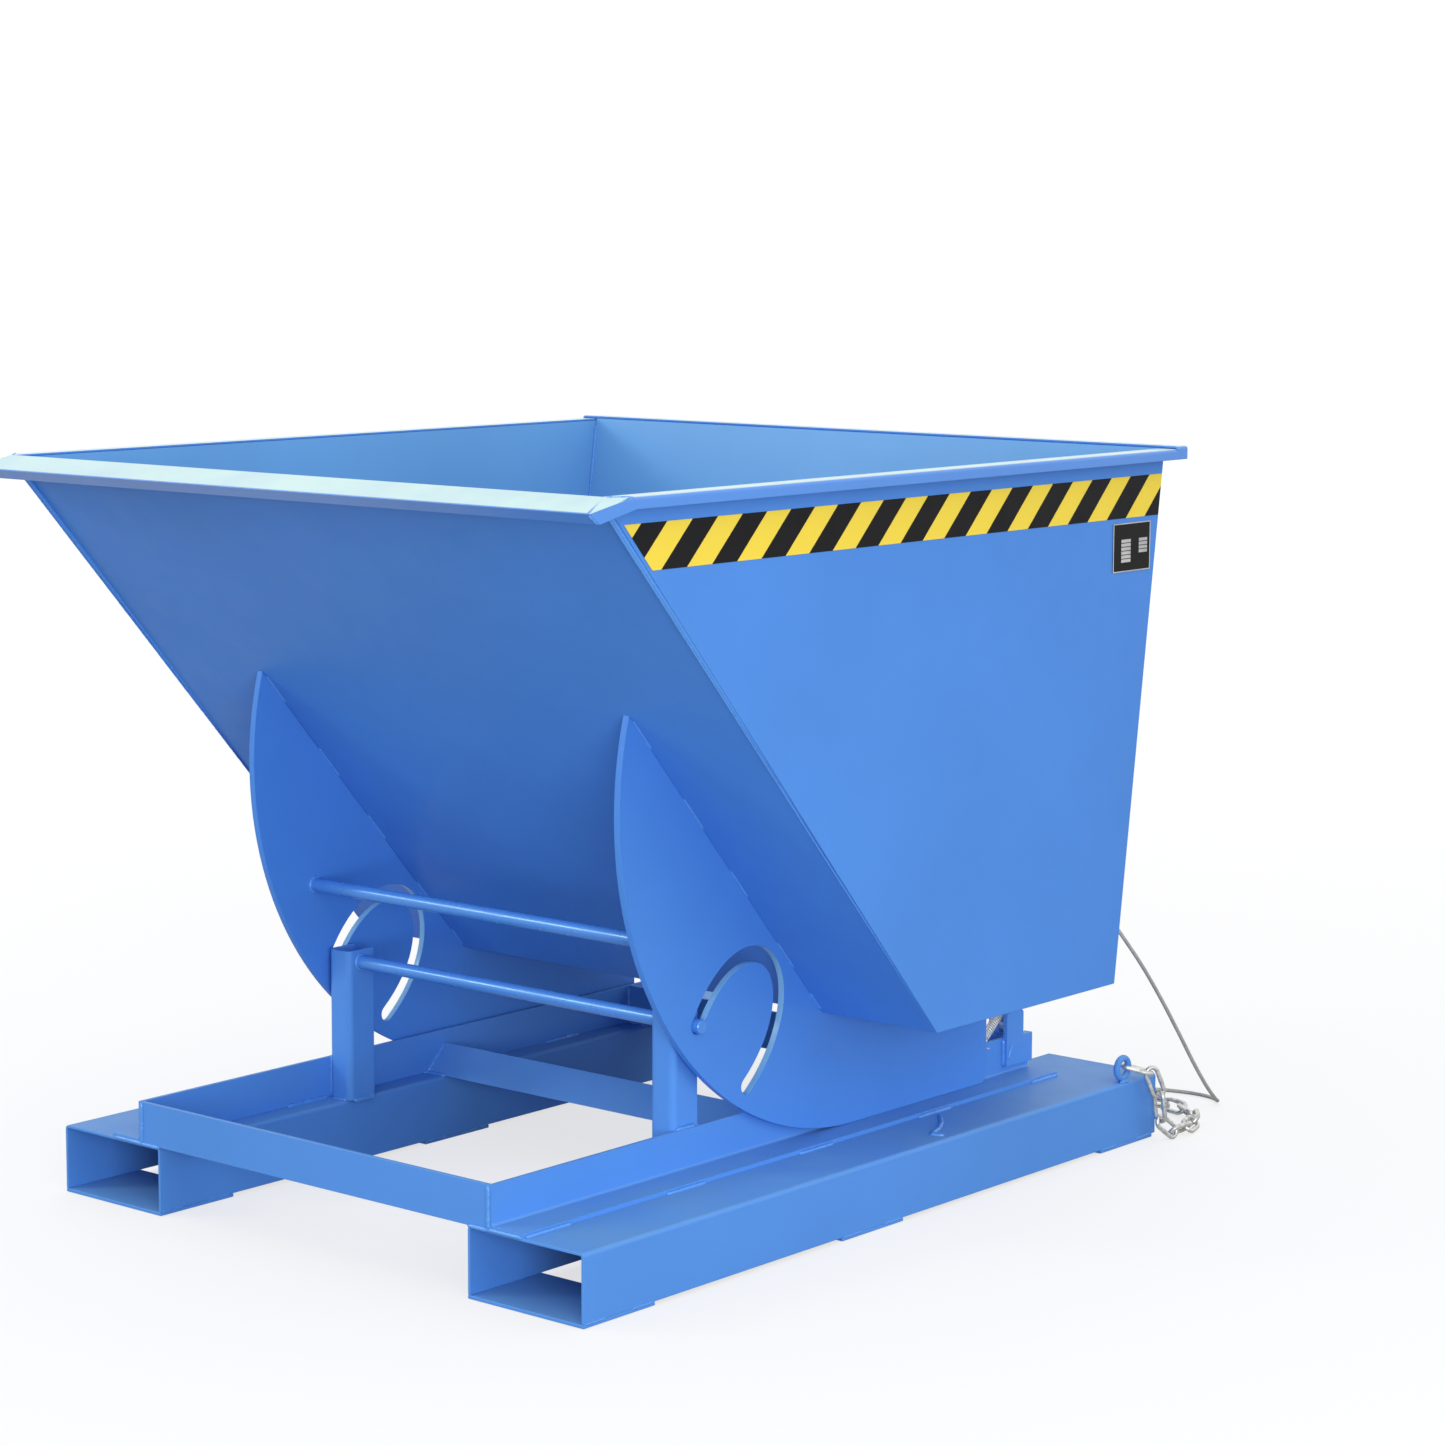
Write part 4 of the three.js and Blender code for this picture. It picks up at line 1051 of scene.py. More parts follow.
@dataclass
class BaseFrame:
    """Fork pockets, rails, cross members, posts, guide rod and end plates."""

    shop: Shop
    edge: float = 0.0009
    rod_chamfer: float = 0.0012
    bead: float = 0.0034
    small_bead: float = 0.0024
    strap_bead: float = 0.0014
    proud: float = 0.0008
    sink: float = 0.0003
    flat_sink: float = 0.0005
    end_gap: float = 0.004
    front_inset: float = 0.0015
    leg: float = 0.006
    overrun: float = 0.001
    turn_under: float = 0.036
    post_gap: float = 0.008
    post_start: float = 0.005
    stitch_shares: tuple[Pair, ...] = (
        (0.004, 0.077),
        (0.236, 0.304),
        (0.474, 0.538),
        (0.705, 0.772),
        (0.943, 0.998),
    )
    strap_shares: tuple[Pair, ...] = ((0.0, 0.3), (0.7, 1.0))
    plate_streak: tuple[Pair, ...] = ((0.013, 0.1475), (0.008, 0.138), (0.0035, 0.125))
    deck_run: tuple[Pair, ...] = (
        (0.405, 0.182),
        (0.422, 0.163),
        (0.437, 0.144),
        (0.452, 0.118),
        (0.460, 0.094),
        (0.466, 0.083),
        (0.482, 0.090),
    )
    places: tuple[str, ...] = ("front", "middle", "rear")

    def build(self) -> None:
        """Dresses every node and lays the welds; the hooked run lies beside the right rail."""
        pairs = ["fork_pocket", "rail", "post", "rail_end_plate"]
        pairs += [f"pocket_strap_{place}" for place in self.places]
        names = [f"{pair}_{side}" for pair in pairs for side in ("right", "left")]
        names += [f"{place}_cross_member" for place in self.places]
        for name in names:
            self.shop.sheet(name, self.edge, Look.FRAME, Body.BASE)
        self.shop.bar("guide_rod", self.rod_chamfer, Look.BAR, Body.BASE)
        self.lay("rail_welds", self.rail_beads(Welder(11)))
        self.lay("cross_member_welds", self.cross_beads(Welder(12)))
        self.lay("post_welds", self.post_beads(Welder(13)))
        self.lay("strap_welds", self.strap_beads(Welder(14)))
        deck = Box.of("fork_pocket_right").high.z
        self.lay("deck_weld", [Welder(15).bead([at(x, y, deck) for x, y in self.deck_run], self.bead)])

    def lay(self, name: str, beads: Iterable[Mesh]) -> None:
        """One piece of the frame's welds."""
        self.shop.welds(name, beads, Slot.FRAME, Body.BASE)

    def rail_beads(self, welder: Welder) -> list[Mesh]:
        """Beads round the rails and their end plates.

        Args:
            welder: lays the beads.

        Returns:
            Stitches along each rail's foot, a bead across its front end, and the end plates' beads.
        """
        rail = Box.of("rail_right")
        pocket = Box.of("fork_pocket_right")
        plate = Box.of("rail_end_plate_right")
        deck = pocket.high.z
        beads = []
        for edge in (rail.high.x + self.proud, rail.low.x - self.proud / 2):
            start = at(edge, rail.low.y, deck + self.proud)
            end = at(edge, rail.high.y, deck + self.proud)
            for a, b in self.stitch_shares:
                beads += welder.both([[start.lerp(end, a), start.lerp(end, b)]], self.bead)
        front = rail.low.y + self.front_inset
        inner = at(pocket.low.x + self.end_gap, front, deck)
        outer = at(rail.high.x - self.end_gap / 2, front, deck)
        beads += welder.both([[inner, outer]], self.bead)
        face = plate.low.x + self.flat_sink
        for y in (plate.low.y, plate.high.y):
            beads += welder.both([[at(face, y, plate.low.z), at(face, y, rail.high.z)]], self.bead)
        streak = [at(plate.high.x, plate.low.y + y, z) for y, z in self.plate_streak]
        return beads + welder.both([streak], self.small_bead)

    def cross_beads(self, welder: Welder) -> list[Mesh]:
        """Beads where the cross members meet the rails.

        Args:
            welder: lays the beads.

        Returns:
            The beads.
        """
        under = at(-self.turn_under, 0.0, 0.0)
        lines = []
        for place in ("front", "rear"):
            box = Box.of(f"{place}_cross_member")
            for y in (box.low.y + self.sink, box.low.y + self.leg + self.sink):
                lines.append([at(box.high.x, y, box.low.z), at(box.high.x, y, box.high.z - self.overrun)])
            foot = at(box.high.x, box.low.y, box.low.z)
            lines.append([foot, foot + under])
        ridge = Box.of("middle_cross_member")
        top = at(ridge.high.x, ridge.middle.y, ridge.high.z)
        for y in (ridge.low.y, ridge.high.y):
            foot = at(ridge.high.x, y, ridge.low.z)
            lines += [[foot, top], [foot, foot + under]]
        return welder.both(lines, self.bead)

    def post_beads(self, welder: Welder) -> list[Mesh]:
        """Beads round the posts' feet, up their outer edges and round the rod.

        Args:
            welder: lays the beads.

        Returns:
            The beads.
        """
        post = Box.of("post_right")
        low = post.low
        high = post.high
        ledge = Box.of("rail_right").high.z
        lines = [
            [at(low.x + self.post_gap, low.y, low.z), at(high.x - self.leg, low.y, low.z)],
            [at(low.x, low.y + self.post_gap, low.z), at(low.x, high.y, low.z)],
        ]
        for y in (low.y + self.post_start, high.y):
            lines.append([at(high.x, y, low.z), at(high.x, y, ledge + self.overrun)])
        top = at(high.x + self.overrun, low.y + self.leg, ledge + self.flat_sink)
        lines.append([top, top + at(0.0, high.y - low.y - 2 * self.leg, 0.0)])
        return welder.both(lines, self.bead) + welder.rings(Box.of("guide_rod"), low.x, self.small_bead)

    def strap_beads(self, welder: Welder) -> list[Mesh]:
        """Beads where the straps meet the pockets' lower edges.

        Args:
            welder: lays the beads.

        Returns:
            The beads.
        """
        lines = []
        for place in self.places:
            strap = Box.of(f"pocket_strap_{place}_right")
            for x in (strap.low.x + self.flat_sink, strap.high.x - self.flat_sink):
                start = at(x, strap.low.y + self.end_gap, strap.high.z)
                end = at(x, strap.high.y - self.end_gap, strap.high.z)
                lines += [[start.lerp(end, a), start.lerp(end, b)] for a, b in self.strap_shares]
        return welder.both(lines, self.strap_bead)


@dataclass(frozen=True)
class Trough:
    """The outer corners of the tank's section, with x at nought."""

    slope_top: Vector
    slope_foot: Vector
    rear_foot: Vector
    rear_top: Vector

    @classmethod
    def measured(cls) -> Trough:
        """Takes the corners from the plates' boxes.

        Returns:
            The top and foot of the slope and of the rear plate.
        """
        front = Box.of("tank_front")
        rear = Box.of("tank_rear")
        floor = Box.of("tank_floor").low.z
        foot = front.low.y + (front.high.z - front.low.z) / math.tan(SLOPE)
        return cls(
            at(0.0, front.low.y, front.high.z),
            at(0.0, foot, floor),
            at(0.0, rear.low.y + TANK_SHEET, floor),
            at(0.0, rear.high.y, rear.high.z),
        )

    @staticmethod
    def inward() -> Vector:
        """The way from the slope plate into the tank."""
        return at(0.0, math.sin(SLOPE), math.cos(SLOPE))

    @staticmethod
    def uphill() -> Vector:
        """The way up the slope plate."""
        return at(0.0, -math.cos(SLOPE), math.sin(SLOPE))


@dataclass
class Tank:
    """The tank's plates, and the seams between them."""

    shop: Shop
    edge: float = 0.0010
    plug_chamfer: float = 0.0004
    facing: float = 0.9
    inner_bead: float = 0.0034
    outer_bead: float = 0.0013
    bead_lift: float = 0.0006
    rear_lift: float = 0.0008
    foot_step: float = 0.0045
    below_rim: float = 0.012
    corner_gap: float = 0.004
    outer_sink: float = 0.0009
    outer_gap: float = 0.00015

    def build(self) -> None:
        """Dresses the plates and lays the seams."""
        inward = {
            "tank_front": Trough.inward(),
            "tank_floor": at(0.0, 0.0, 1.0),
            "tank_rear": at(0.0, -1.0, 0.0),
            "tank_side_right": at(-1.0, 0.0, 0.0),
            "tank_side_left": at(1.0, 0.0, 0.0),
        }
        for node, way in inward.items():
            self.paint_inside(self.shop.sheet(node, self.edge, Look.TANK, Body.HOPPER), way)
        self.shop.bar("side_plug", self.plug_chamfer, Look.TANK, Body.CARRIER)
        self.lay_seams()

    def paint_inside(self, plate: Piece, way: Vector) -> None:
        """Gives a plate's inner face a paler, hazier enamel that is painted light: the open sky's light and
        sheen on the tank's inside.

        Args:
            plate: the plate.
            way: where its inner face looks.
        """
        plate.data.materials.append(self.shop.material(Look.INSIDE_LIT))
        for face in plate.data.polygons:
            if face.normal.dot(way) > self.facing:
                face.material_index = 1

    def lay_seams(self) -> None:
        """Beads inside the tank's corners and along its outer seams."""
        t = Trough.measured()
        wall = Box.of("tank_side_right").high.x - TANK_SHEET
        welder = Welder(21)
        lift = at(0.0, 0.0, TANK_SHEET + self.bead_lift)
        back = at(0.0, -TANK_SHEET - self.rear_lift, 0.0)
        down = at(0.0, 0.0, -self.below_rim)
        inside = [
            t.slope_top + Trough.inward() * (TANK_SHEET + self.bead_lift) + down,
            t.slope_foot + at(0.0, self.foot_step, 0.0) + lift,
            t.rear_foot + back + lift,
            t.rear_top + back + down,
        ]
        right = [p + at(wall - self.bead_lift, 0.0, 0.0) for p in inside]
        beads = welder.both(zip(right, right[1:]), self.inner_bead)
        half = at(wall - self.corner_gap, 0.0, 0.0)
        for corner in inside[1:3]:
            beads.append(welder.bead([corner - half, corner + half], self.inner_bead))
        self.shop.welds("tank_inner_seams", beads, Slot.TANK, Body.HOPPER)
        outside = at(wall - self.outer_gap, 0.0, 0.0)
        sink = Trough.inward() * self.outer_sink
        rear_sink = at(0.0, -self.outer_sink, 0.0)
        under = at(0.0, self.corner_gap, self.outer_sink)
        before = at(0.0, -self.corner_gap, self.outer_sink)
        lines = [
            [t.slope_top + outside + sink + down, t.slope_foot + outside + sink],
            [t.rear_foot + outside + rear_sink, t.rear_top + outside + rear_sink + down],
            [t.slope_foot + outside + under, t.rear_foot + outside + before],
        ]
        self.shop.welds("tank_outer_seams", welder.both(lines, self.outer_bead), Slot.TANK, Body.HOPPER)


@dataclass
class Rims:
    """The pour lip and the three rims, folded from thin sheet with mitred corners."""

    shop: Shop
    sheet: float = 0.003
    fold: float = 0.0045
    fold_steps: int = 4
    fold_angle: float = 8.0
    smooth_angle: float = 60.0
    edge: float = 0.0005
    edge_steps: int = 2
    edge_angle: float = 50.0
    lip_reach: float = 0.055
    lip_drop: float = 0.016
    turn_back: float = 0.018
    turn_down: float = 0.014
    mitre: float = 0.026
    gap: float = 0.0003
    bead: float = 0.0024
    bead_sink: float = 0.72
    seam: tuple[Point, ...] = ((0.0005, 0.002, -0.002), (0.0005, 0.017, -0.0135))

    def build(self) -> None:
        """Folds the lip and the rims, and welds their corners."""
        lip = Box.of("pour_lip")
        side = Box.of("side_rim_right")
        rear = Box.of("rear_rim")
        wall = Box.of("tank_side_right").high.x
        front = lip.low.y
        bend = front + self.lip_reach
        top = side.high.z
        edge_z = top - self.lip_drop
        end = lip.high.x
        out = side.high.x
        back = side.high.y
        corner = wall + self.gap
        share = (end - corner) / (out - corner)
        a = at(corner, bend, top)
        b = at(end, bend + self.mitre * share, top)
        c = at(end, front, edge_z)
        t = c + at(0.0, self.turn_back, -self.turn_down)
        al, bl, cl, tl = mirrored((a, b, c, t))
        self.folded("pour_lip", [(al, cl, c, a), (a, c, b), (al, bl, cl), (cl, tl, t, c)])
        start = bend + self.sheet * self.lip_drop / self.lip_reach + self.gap
        turn = start + self.mitre
        inside = wall - TANK_SHEET
        along = [(inside, start), (corner, start), (out, turn), (out, back), (inside, back)]
        drop = [
            (back, top),
            (turn, top),
            (front, edge_z),
            (front + self.turn_back, edge_z - self.turn_down),
            (turn + self.sheet, rear.low.z),
            (back, rear.low.z),
        ]
        flange = [at(x, y, top) for x, y in along]
        face = [at(out, y, z) for y, z in drop]
        self.folded("side_rim_right", [flange, face])
        self.folded("side_rim_left", [mirrored(flange)[::-1], mirrored(face)[::-1]])
        self.fold_rear(rear)
        self.weld_corners(a, b, c)

    def fold_rear(self, box: Box) -> None:
        """The rear rim, its ends closed by small plates.

        Args:
            box: where the rear rim lies.
        """
        x = box.high.x
        near = box.low.y
        far = box.high.y
        low = box.low.z
        top = box.high.z
        flange = [at(-x, near, top), at(x, near, top), at(x, far, top), at(-x, far, top)]
        face = [at(-x, far, top), at(x, far, top), at(x, far, low), at(-x, far, low)]
        cap = [at(x, near, low), at(x, far, low), at(x, far, top), at(x, near, top)]
        self.folded("rear_rim", [flange, face, cap, mirrored(cap)[::-1]])

    def folded(self, node: str, faces: Sequence[Sequence[Vector]]) -> None:
        """A piece folded from sheet.

        Args:
            node: the CAD node that it stands for.
            faces: its outer faces, each a row of corners.
        """
        bm = bmesh.new()
        for corners in faces:
            bm.faces.new([bm.verts.new(corner) for corner in corners])
        bmesh.ops.remove_doubles(bm, verts=bm.verts, dist=1e-6)
        round_edges(bm, self.fold_angle, self.fold, self.fold_steps)
        piece = smooth_mesh(f"{node}_fold", bm, self.smooth_angle)
        wall = piece.modifiers.new("sheet", "SOLIDIFY")
        wall.thickness = self.sheet
        wall.offset = -1.0
        wall.use_even_offset = True
        rounded = piece.modifiers.new("edges", "BEVEL")
        rounded.width = self.edge
        rounded.segments = self.edge_steps
        rounded.limit_method = "ANGLE"
        rounded.angle_limit = math.radians(self.edge_angle)
        self.shop.place(flat_faced(piece), Look.RIM, Body.HOPPER, [node])

    def weld_corners(self, a: Vector, b: Vector, c: Vector) -> None:
        """Ground beads along the corners' seams.

        Args:
            a: the inner end of the lip's mitre.
            b: the outer end of its seam with the side rim.
            c: the lip's front corner.
        """
        sink = at(0.0, 0.0, self.bead * self.bead_sink)
        out = at(self.sheet, self.sheet, 0.0)
        lines = [[a - sink, b + out - sink], [c + Vector(step) for step in self.seam]]
        self.shop.welds("rim_welds", Welder(61).both(lines, self.bead), Slot.RIM, Body.HOPPER)


@dataclass
class Rockers:
    """The two rocker plates, the rod between them and their stitch welds."""

    shop: Shop
    edge: float = 0.0010
    rod_chamfer: float = 0.0008
    bead: float = 0.0024
    rod_bead: float = 0.0026
    proud: float = 0.0004
    tip_gap: float = 0.004
    slot_inset: float = 0.015
    broadside: float = 0.92
    slope_shares: tuple[Pair, ...] = (
        (0.01, 0.10),
        (0.26, 0.36),
        (0.50, 0.59),
        (0.75, 0.84),
        (0.93, 0.99),
    )
    floor_shares: tuple[Pair, ...] = ((0.02, 0.18), (0.42, 0.58), (0.82, 0.97))

    def build(self) -> None:
        """Dresses the plates and lays the welds."""
        for side in ("right", "left"):
            self.paint_slot(self.shop.sheet(f"rocker_{side}", self.edge, Look.TANK, Body.HOPPER))
        self.shop.bar("tie_rod", self.rod_chamfer, Look.BAR, Body.HOPPER, Slot.TANK)
        rocker = Box.of("rocker_right")
        foot = Trough.measured().slope_foot
        tip = foot + Trough.uphill() * ((rocker.high.z - foot.z) / math.sin(SLOPE) - self.tip_gap)
        end = at(0.0, rocker.high.y, foot.z)
        welder = Welder(31)
        beads = []
        for x in (rocker.high.x + self.proud, rocker.low.x - self.proud):
            out = at(x, 0.0, 0.0)
            for first, last, shares in ((tip, foot, self.slope_shares), (foot, end, self.floor_shares)):
                for pair in shares:
                    line = [(first + out).lerp(last + out, share) for share in pair]
                    beads += welder.both([line], self.bead)
        beads += welder.rings(Box.of("tie_rod"), rocker.low.x, self.rod_bead)
        self.shop.welds("rocker_welds", beads, Slot.TANK, Body.HOPPER)

    def paint_slot(self, plate: Piece) -> None:
        """Gives the slot's cut edges a paler enamel that is a painted highlight along them.

        Args:
            plate: the rocker plate.
        """
        plate.data.materials.append(self.shop.material(Look.CUT_HIGHLIGHT))
        middle = Box.of("side_plug").middle
        reach = middle.z - Box.of("rocker_right").low.z - self.slot_inset
        top = Trough.measured().slope_top
        for face in plate.data.polygons:
            spot = at(0.0, face.center.y, face.center.z)
            deep = (spot - at(0.0, middle.y, middle.z)).length < reach
            inside = (top - spot).dot(Trough.inward()) > self.slot_inset
            if abs(face.normal.x) < self.broadside and deep and inside:
                face.material_index = 1


@dataclass
class Latch:
    """Bracket, axle, spacer, release lever, catch, ring, fitting and return spring."""

    shop: Shop
    bracket_edge: float = 0.0008
    lever_edge: float = 0.0010
    axle_chamfer: float = 0.0015
    catch_chamfer: float = 0.0010
    ring_radius: float = 0.015
    ring_wire: float = 0.0025
    wire: float = 0.0024
    wire_sides: int = 10
    coil_radius: float = 0.006
    coil_steps: int = 20
    turns: int = 20
    lead: float = 0.010
    low_lead: float = 0.017
    hook: float = 0.004
    hook_steps: int = 8
    tail: float = 0.0191
    foot: Vector = Vector((0.3239, 0.38681, 0.149))
    eye: Vector = Vector((0.3239, 0.46542, 0.212))
    lever_side: float = 0.3060
    catch_bead: float = 0.0026
    bracket_bead: float = 0.0028
    bead_inset: float = 0.003
    bead_overrun: float = 0.0012

    def build(self) -> None:
        """Dresses the latch's nodes and winds its spring."""
        shop = self.shop
        shop.sheet("latch_bracket", self.bracket_edge, Look.FRAME, Body.BASE)
        shop.bar("latch_axle", self.axle_chamfer, Look.ZINC, Body.BASE)
        shop.sheet("release_lever", self.lever_edge, Look.FRAME, Body.LATCH)
        shop.sheet("catch_bracket", self.bracket_edge, Look.TANK, Body.HOPPER)
        shop.bar("catch_bar", self.catch_chamfer, Look.ZINC, Body.HOPPER)
        for node in ("axle_spacer", "rope_fitting"):
            shop.dress(shop.nodes[node], Look.ZINC)
        shop.ring("rope_ring", self.ring_radius, self.ring_wire, Look.ZINC, Body.LATCH)
        self.wind_spring()
        self.lay_welds()

    def hooked_end(self, hole: Vector, way: Vector, out: Vector, tip: float) -> list[Vector]:
        """One end of the spring's wire: straight through its hole, then bent.

        Args:
            hole: where the hole is.
            way: the way along the spring, away from the hole.
            out: the way that the hook bends to.
            tip: the wire's end along X.

        Returns:
            Points from the wire's end to the coil.
        """
        centre = hole + out * self.hook + way * self.hook
        points = [at(tip, hole.y, hole.z)]
        for i in range(self.hook_steps + 1):
            turn = math.pi / 2 * i / self.hook_steps
            back = way * (self.hook * math.cos(turn))
            points.append(centre - back - out * (self.hook * math.sin(turn)))
        return points

    def wind_spring(self) -> None:
        """The return spring, from the rail's hole to the lever's."""
        axis = (self.eye - self.foot).normalized()
        x = at(1.0, 0.0, 0.0)
        up = x.cross(axis)
        line = self.hooked_end(self.foot, axis, x, self.foot.x + self.tail)
        start = self.foot + axis * self.low_lead
        stop = self.eye - axis * self.lead
        steps = self.coil_steps * self.turns
        for i in range(steps + 1):
            turns = i / steps * self.turns
            swell = min(1.0, 2 * turns, 2 * (self.turns - turns)) * self.coil_radius
            across = x * (swell * math.cos(TURN * turns))
            line.append(start.lerp(stop, i / steps) + across + up * (swell * math.sin(TURN * turns)))
        line += self.hooked_end(self.eye, -axis, -x, self.lever_side)[::-1]
        piece = smooth_mesh("return_spring_coil", tube(line, self.wire / 2, self.wire_sides))
        self.shop.dress(piece, Look.SPRING)
        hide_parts("return_spring")
        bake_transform(piece)

    def lay_welds(self) -> None:
        """Beads beside the catch bracket and along the inner bracket's foot."""
        welder = Welder(41)
        low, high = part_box("catch_bracket")
        near = low.y - self.bead_overrun
        far = low.y + self.bead_inset
        lines = [[at(x, near, low.z), at(x, far, high.z)] for x in (low.x, high.x)]
        beads = [welder.bead(line, self.catch_bead) for line in lines]
        self.shop.welds("catch_welds", beads, Slot.TANK, Body.HOPPER)
        low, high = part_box("latch_bracket")
        near = low.y + self.bead_inset
        far = high.y - self.bead_inset
        lines = [[at(x, near, low.z), at(x, far, low.z)] for x in (low.x, high.x)]
        beads = [welder.bead(line, self.bracket_bead) for line in lines]
        self.shop.welds("latch_bracket_welds", beads, Slot.FRAME, Body.BASE)


@dataclass
class SafetyChain:
    """The lug ring and the links, each bent from one round bar and welded shut."""

    shop: Shop
    lug_radius: float = 0.015
    lug_wire: float = 0.005
    lug_bead: float = 0.0030
    lug_bead_side: float = 0.0036
    lug_bead_half: float = 0.011
    wire: float = 0.0035
    wire_sides: int = 16
    inner: float = 0.040
    width: float = 0.026
    bend_steps: int = 20
    straight_steps: int = 10
    weld_half: float = 0.16
    weld_share: float = 0.07
    weld_uneven: float = 0.3
    weld_waves: float = 9.0
    phase_step: float = 0.35
    hanging: int = 4
    links: int = 11

    def build(self) -> None:
        """Makes the lug and every link."""
        self.shop.ring("chain_lug", self.lug_radius, self.lug_wire, Look.FRAME, Body.BASE)
        lug = Box.of("chain_lug")
        welder = Welder(51)
        beads = []
        for side in (-self.lug_bead_side, self.lug_bead_side):
            foot = at(lug.middle.x + side, lug.middle.y, lug.low.z)
            half = at(0.0, self.lug_bead_half, 0.0)
            beads.append(welder.bead([foot - half, foot + half], self.lug_bead))
        self.shop.welds("chain_lug_weld", beads, Slot.FRAME, Body.BASE)
        for i in range(1, self.links + 1):
            body = Body.HANGING if i <= self.hanging else Body.LYING
            self.link(f"chain_link_{i:02d}", body, self.phase_step * i)

    def link(self, node: str, body: Body, phase: float) -> None:
        """One link where its CAD node lies.

        Args:
            node: the CAD link.
            body: the body that it moves with.
            phase: shifts the weld's unevenness.
        """
        middle, along, across, normal = axes_of(self.shop.nodes[node])
        bend = self.width / 2 - self.wire
        half = self.inner / 2 + self.wire - bend
        line = []
        sizes = []
        for sign in (1.0, -1.0):
            for i in range(self.bend_steps + 1):
                turn = -math.pi / 2 + math.pi * i / self.bend_steps
                end = along * (sign * (half + bend * math.cos(turn)))
                line.append(middle + end + across * (sign * bend * math.sin(turn)))
                sizes.append(self.wire)
            for i in range(1, self.straight_steps):
                share = i / self.straight_steps
                line.append(middle + along * (sign * half * (1.0 - 2.0 * share)) + across * (sign * bend))
                welded = sign > 0 and abs(share - 0.5) < self.weld_half
                wave = 1.0 + self.weld_uneven * math.sin(self.weld_waves * share + phase)
                sizes.append(self.wire * (1.0 + (self.weld_share * wave if welded else 0.0)))
        bm = tube(line, sizes + sizes[:1], self.wire_sides, normal=normal, closed=True)
        self.shop.place(smooth_mesh(f"{node}_bent", bm), Look.ZINC, body, [node])


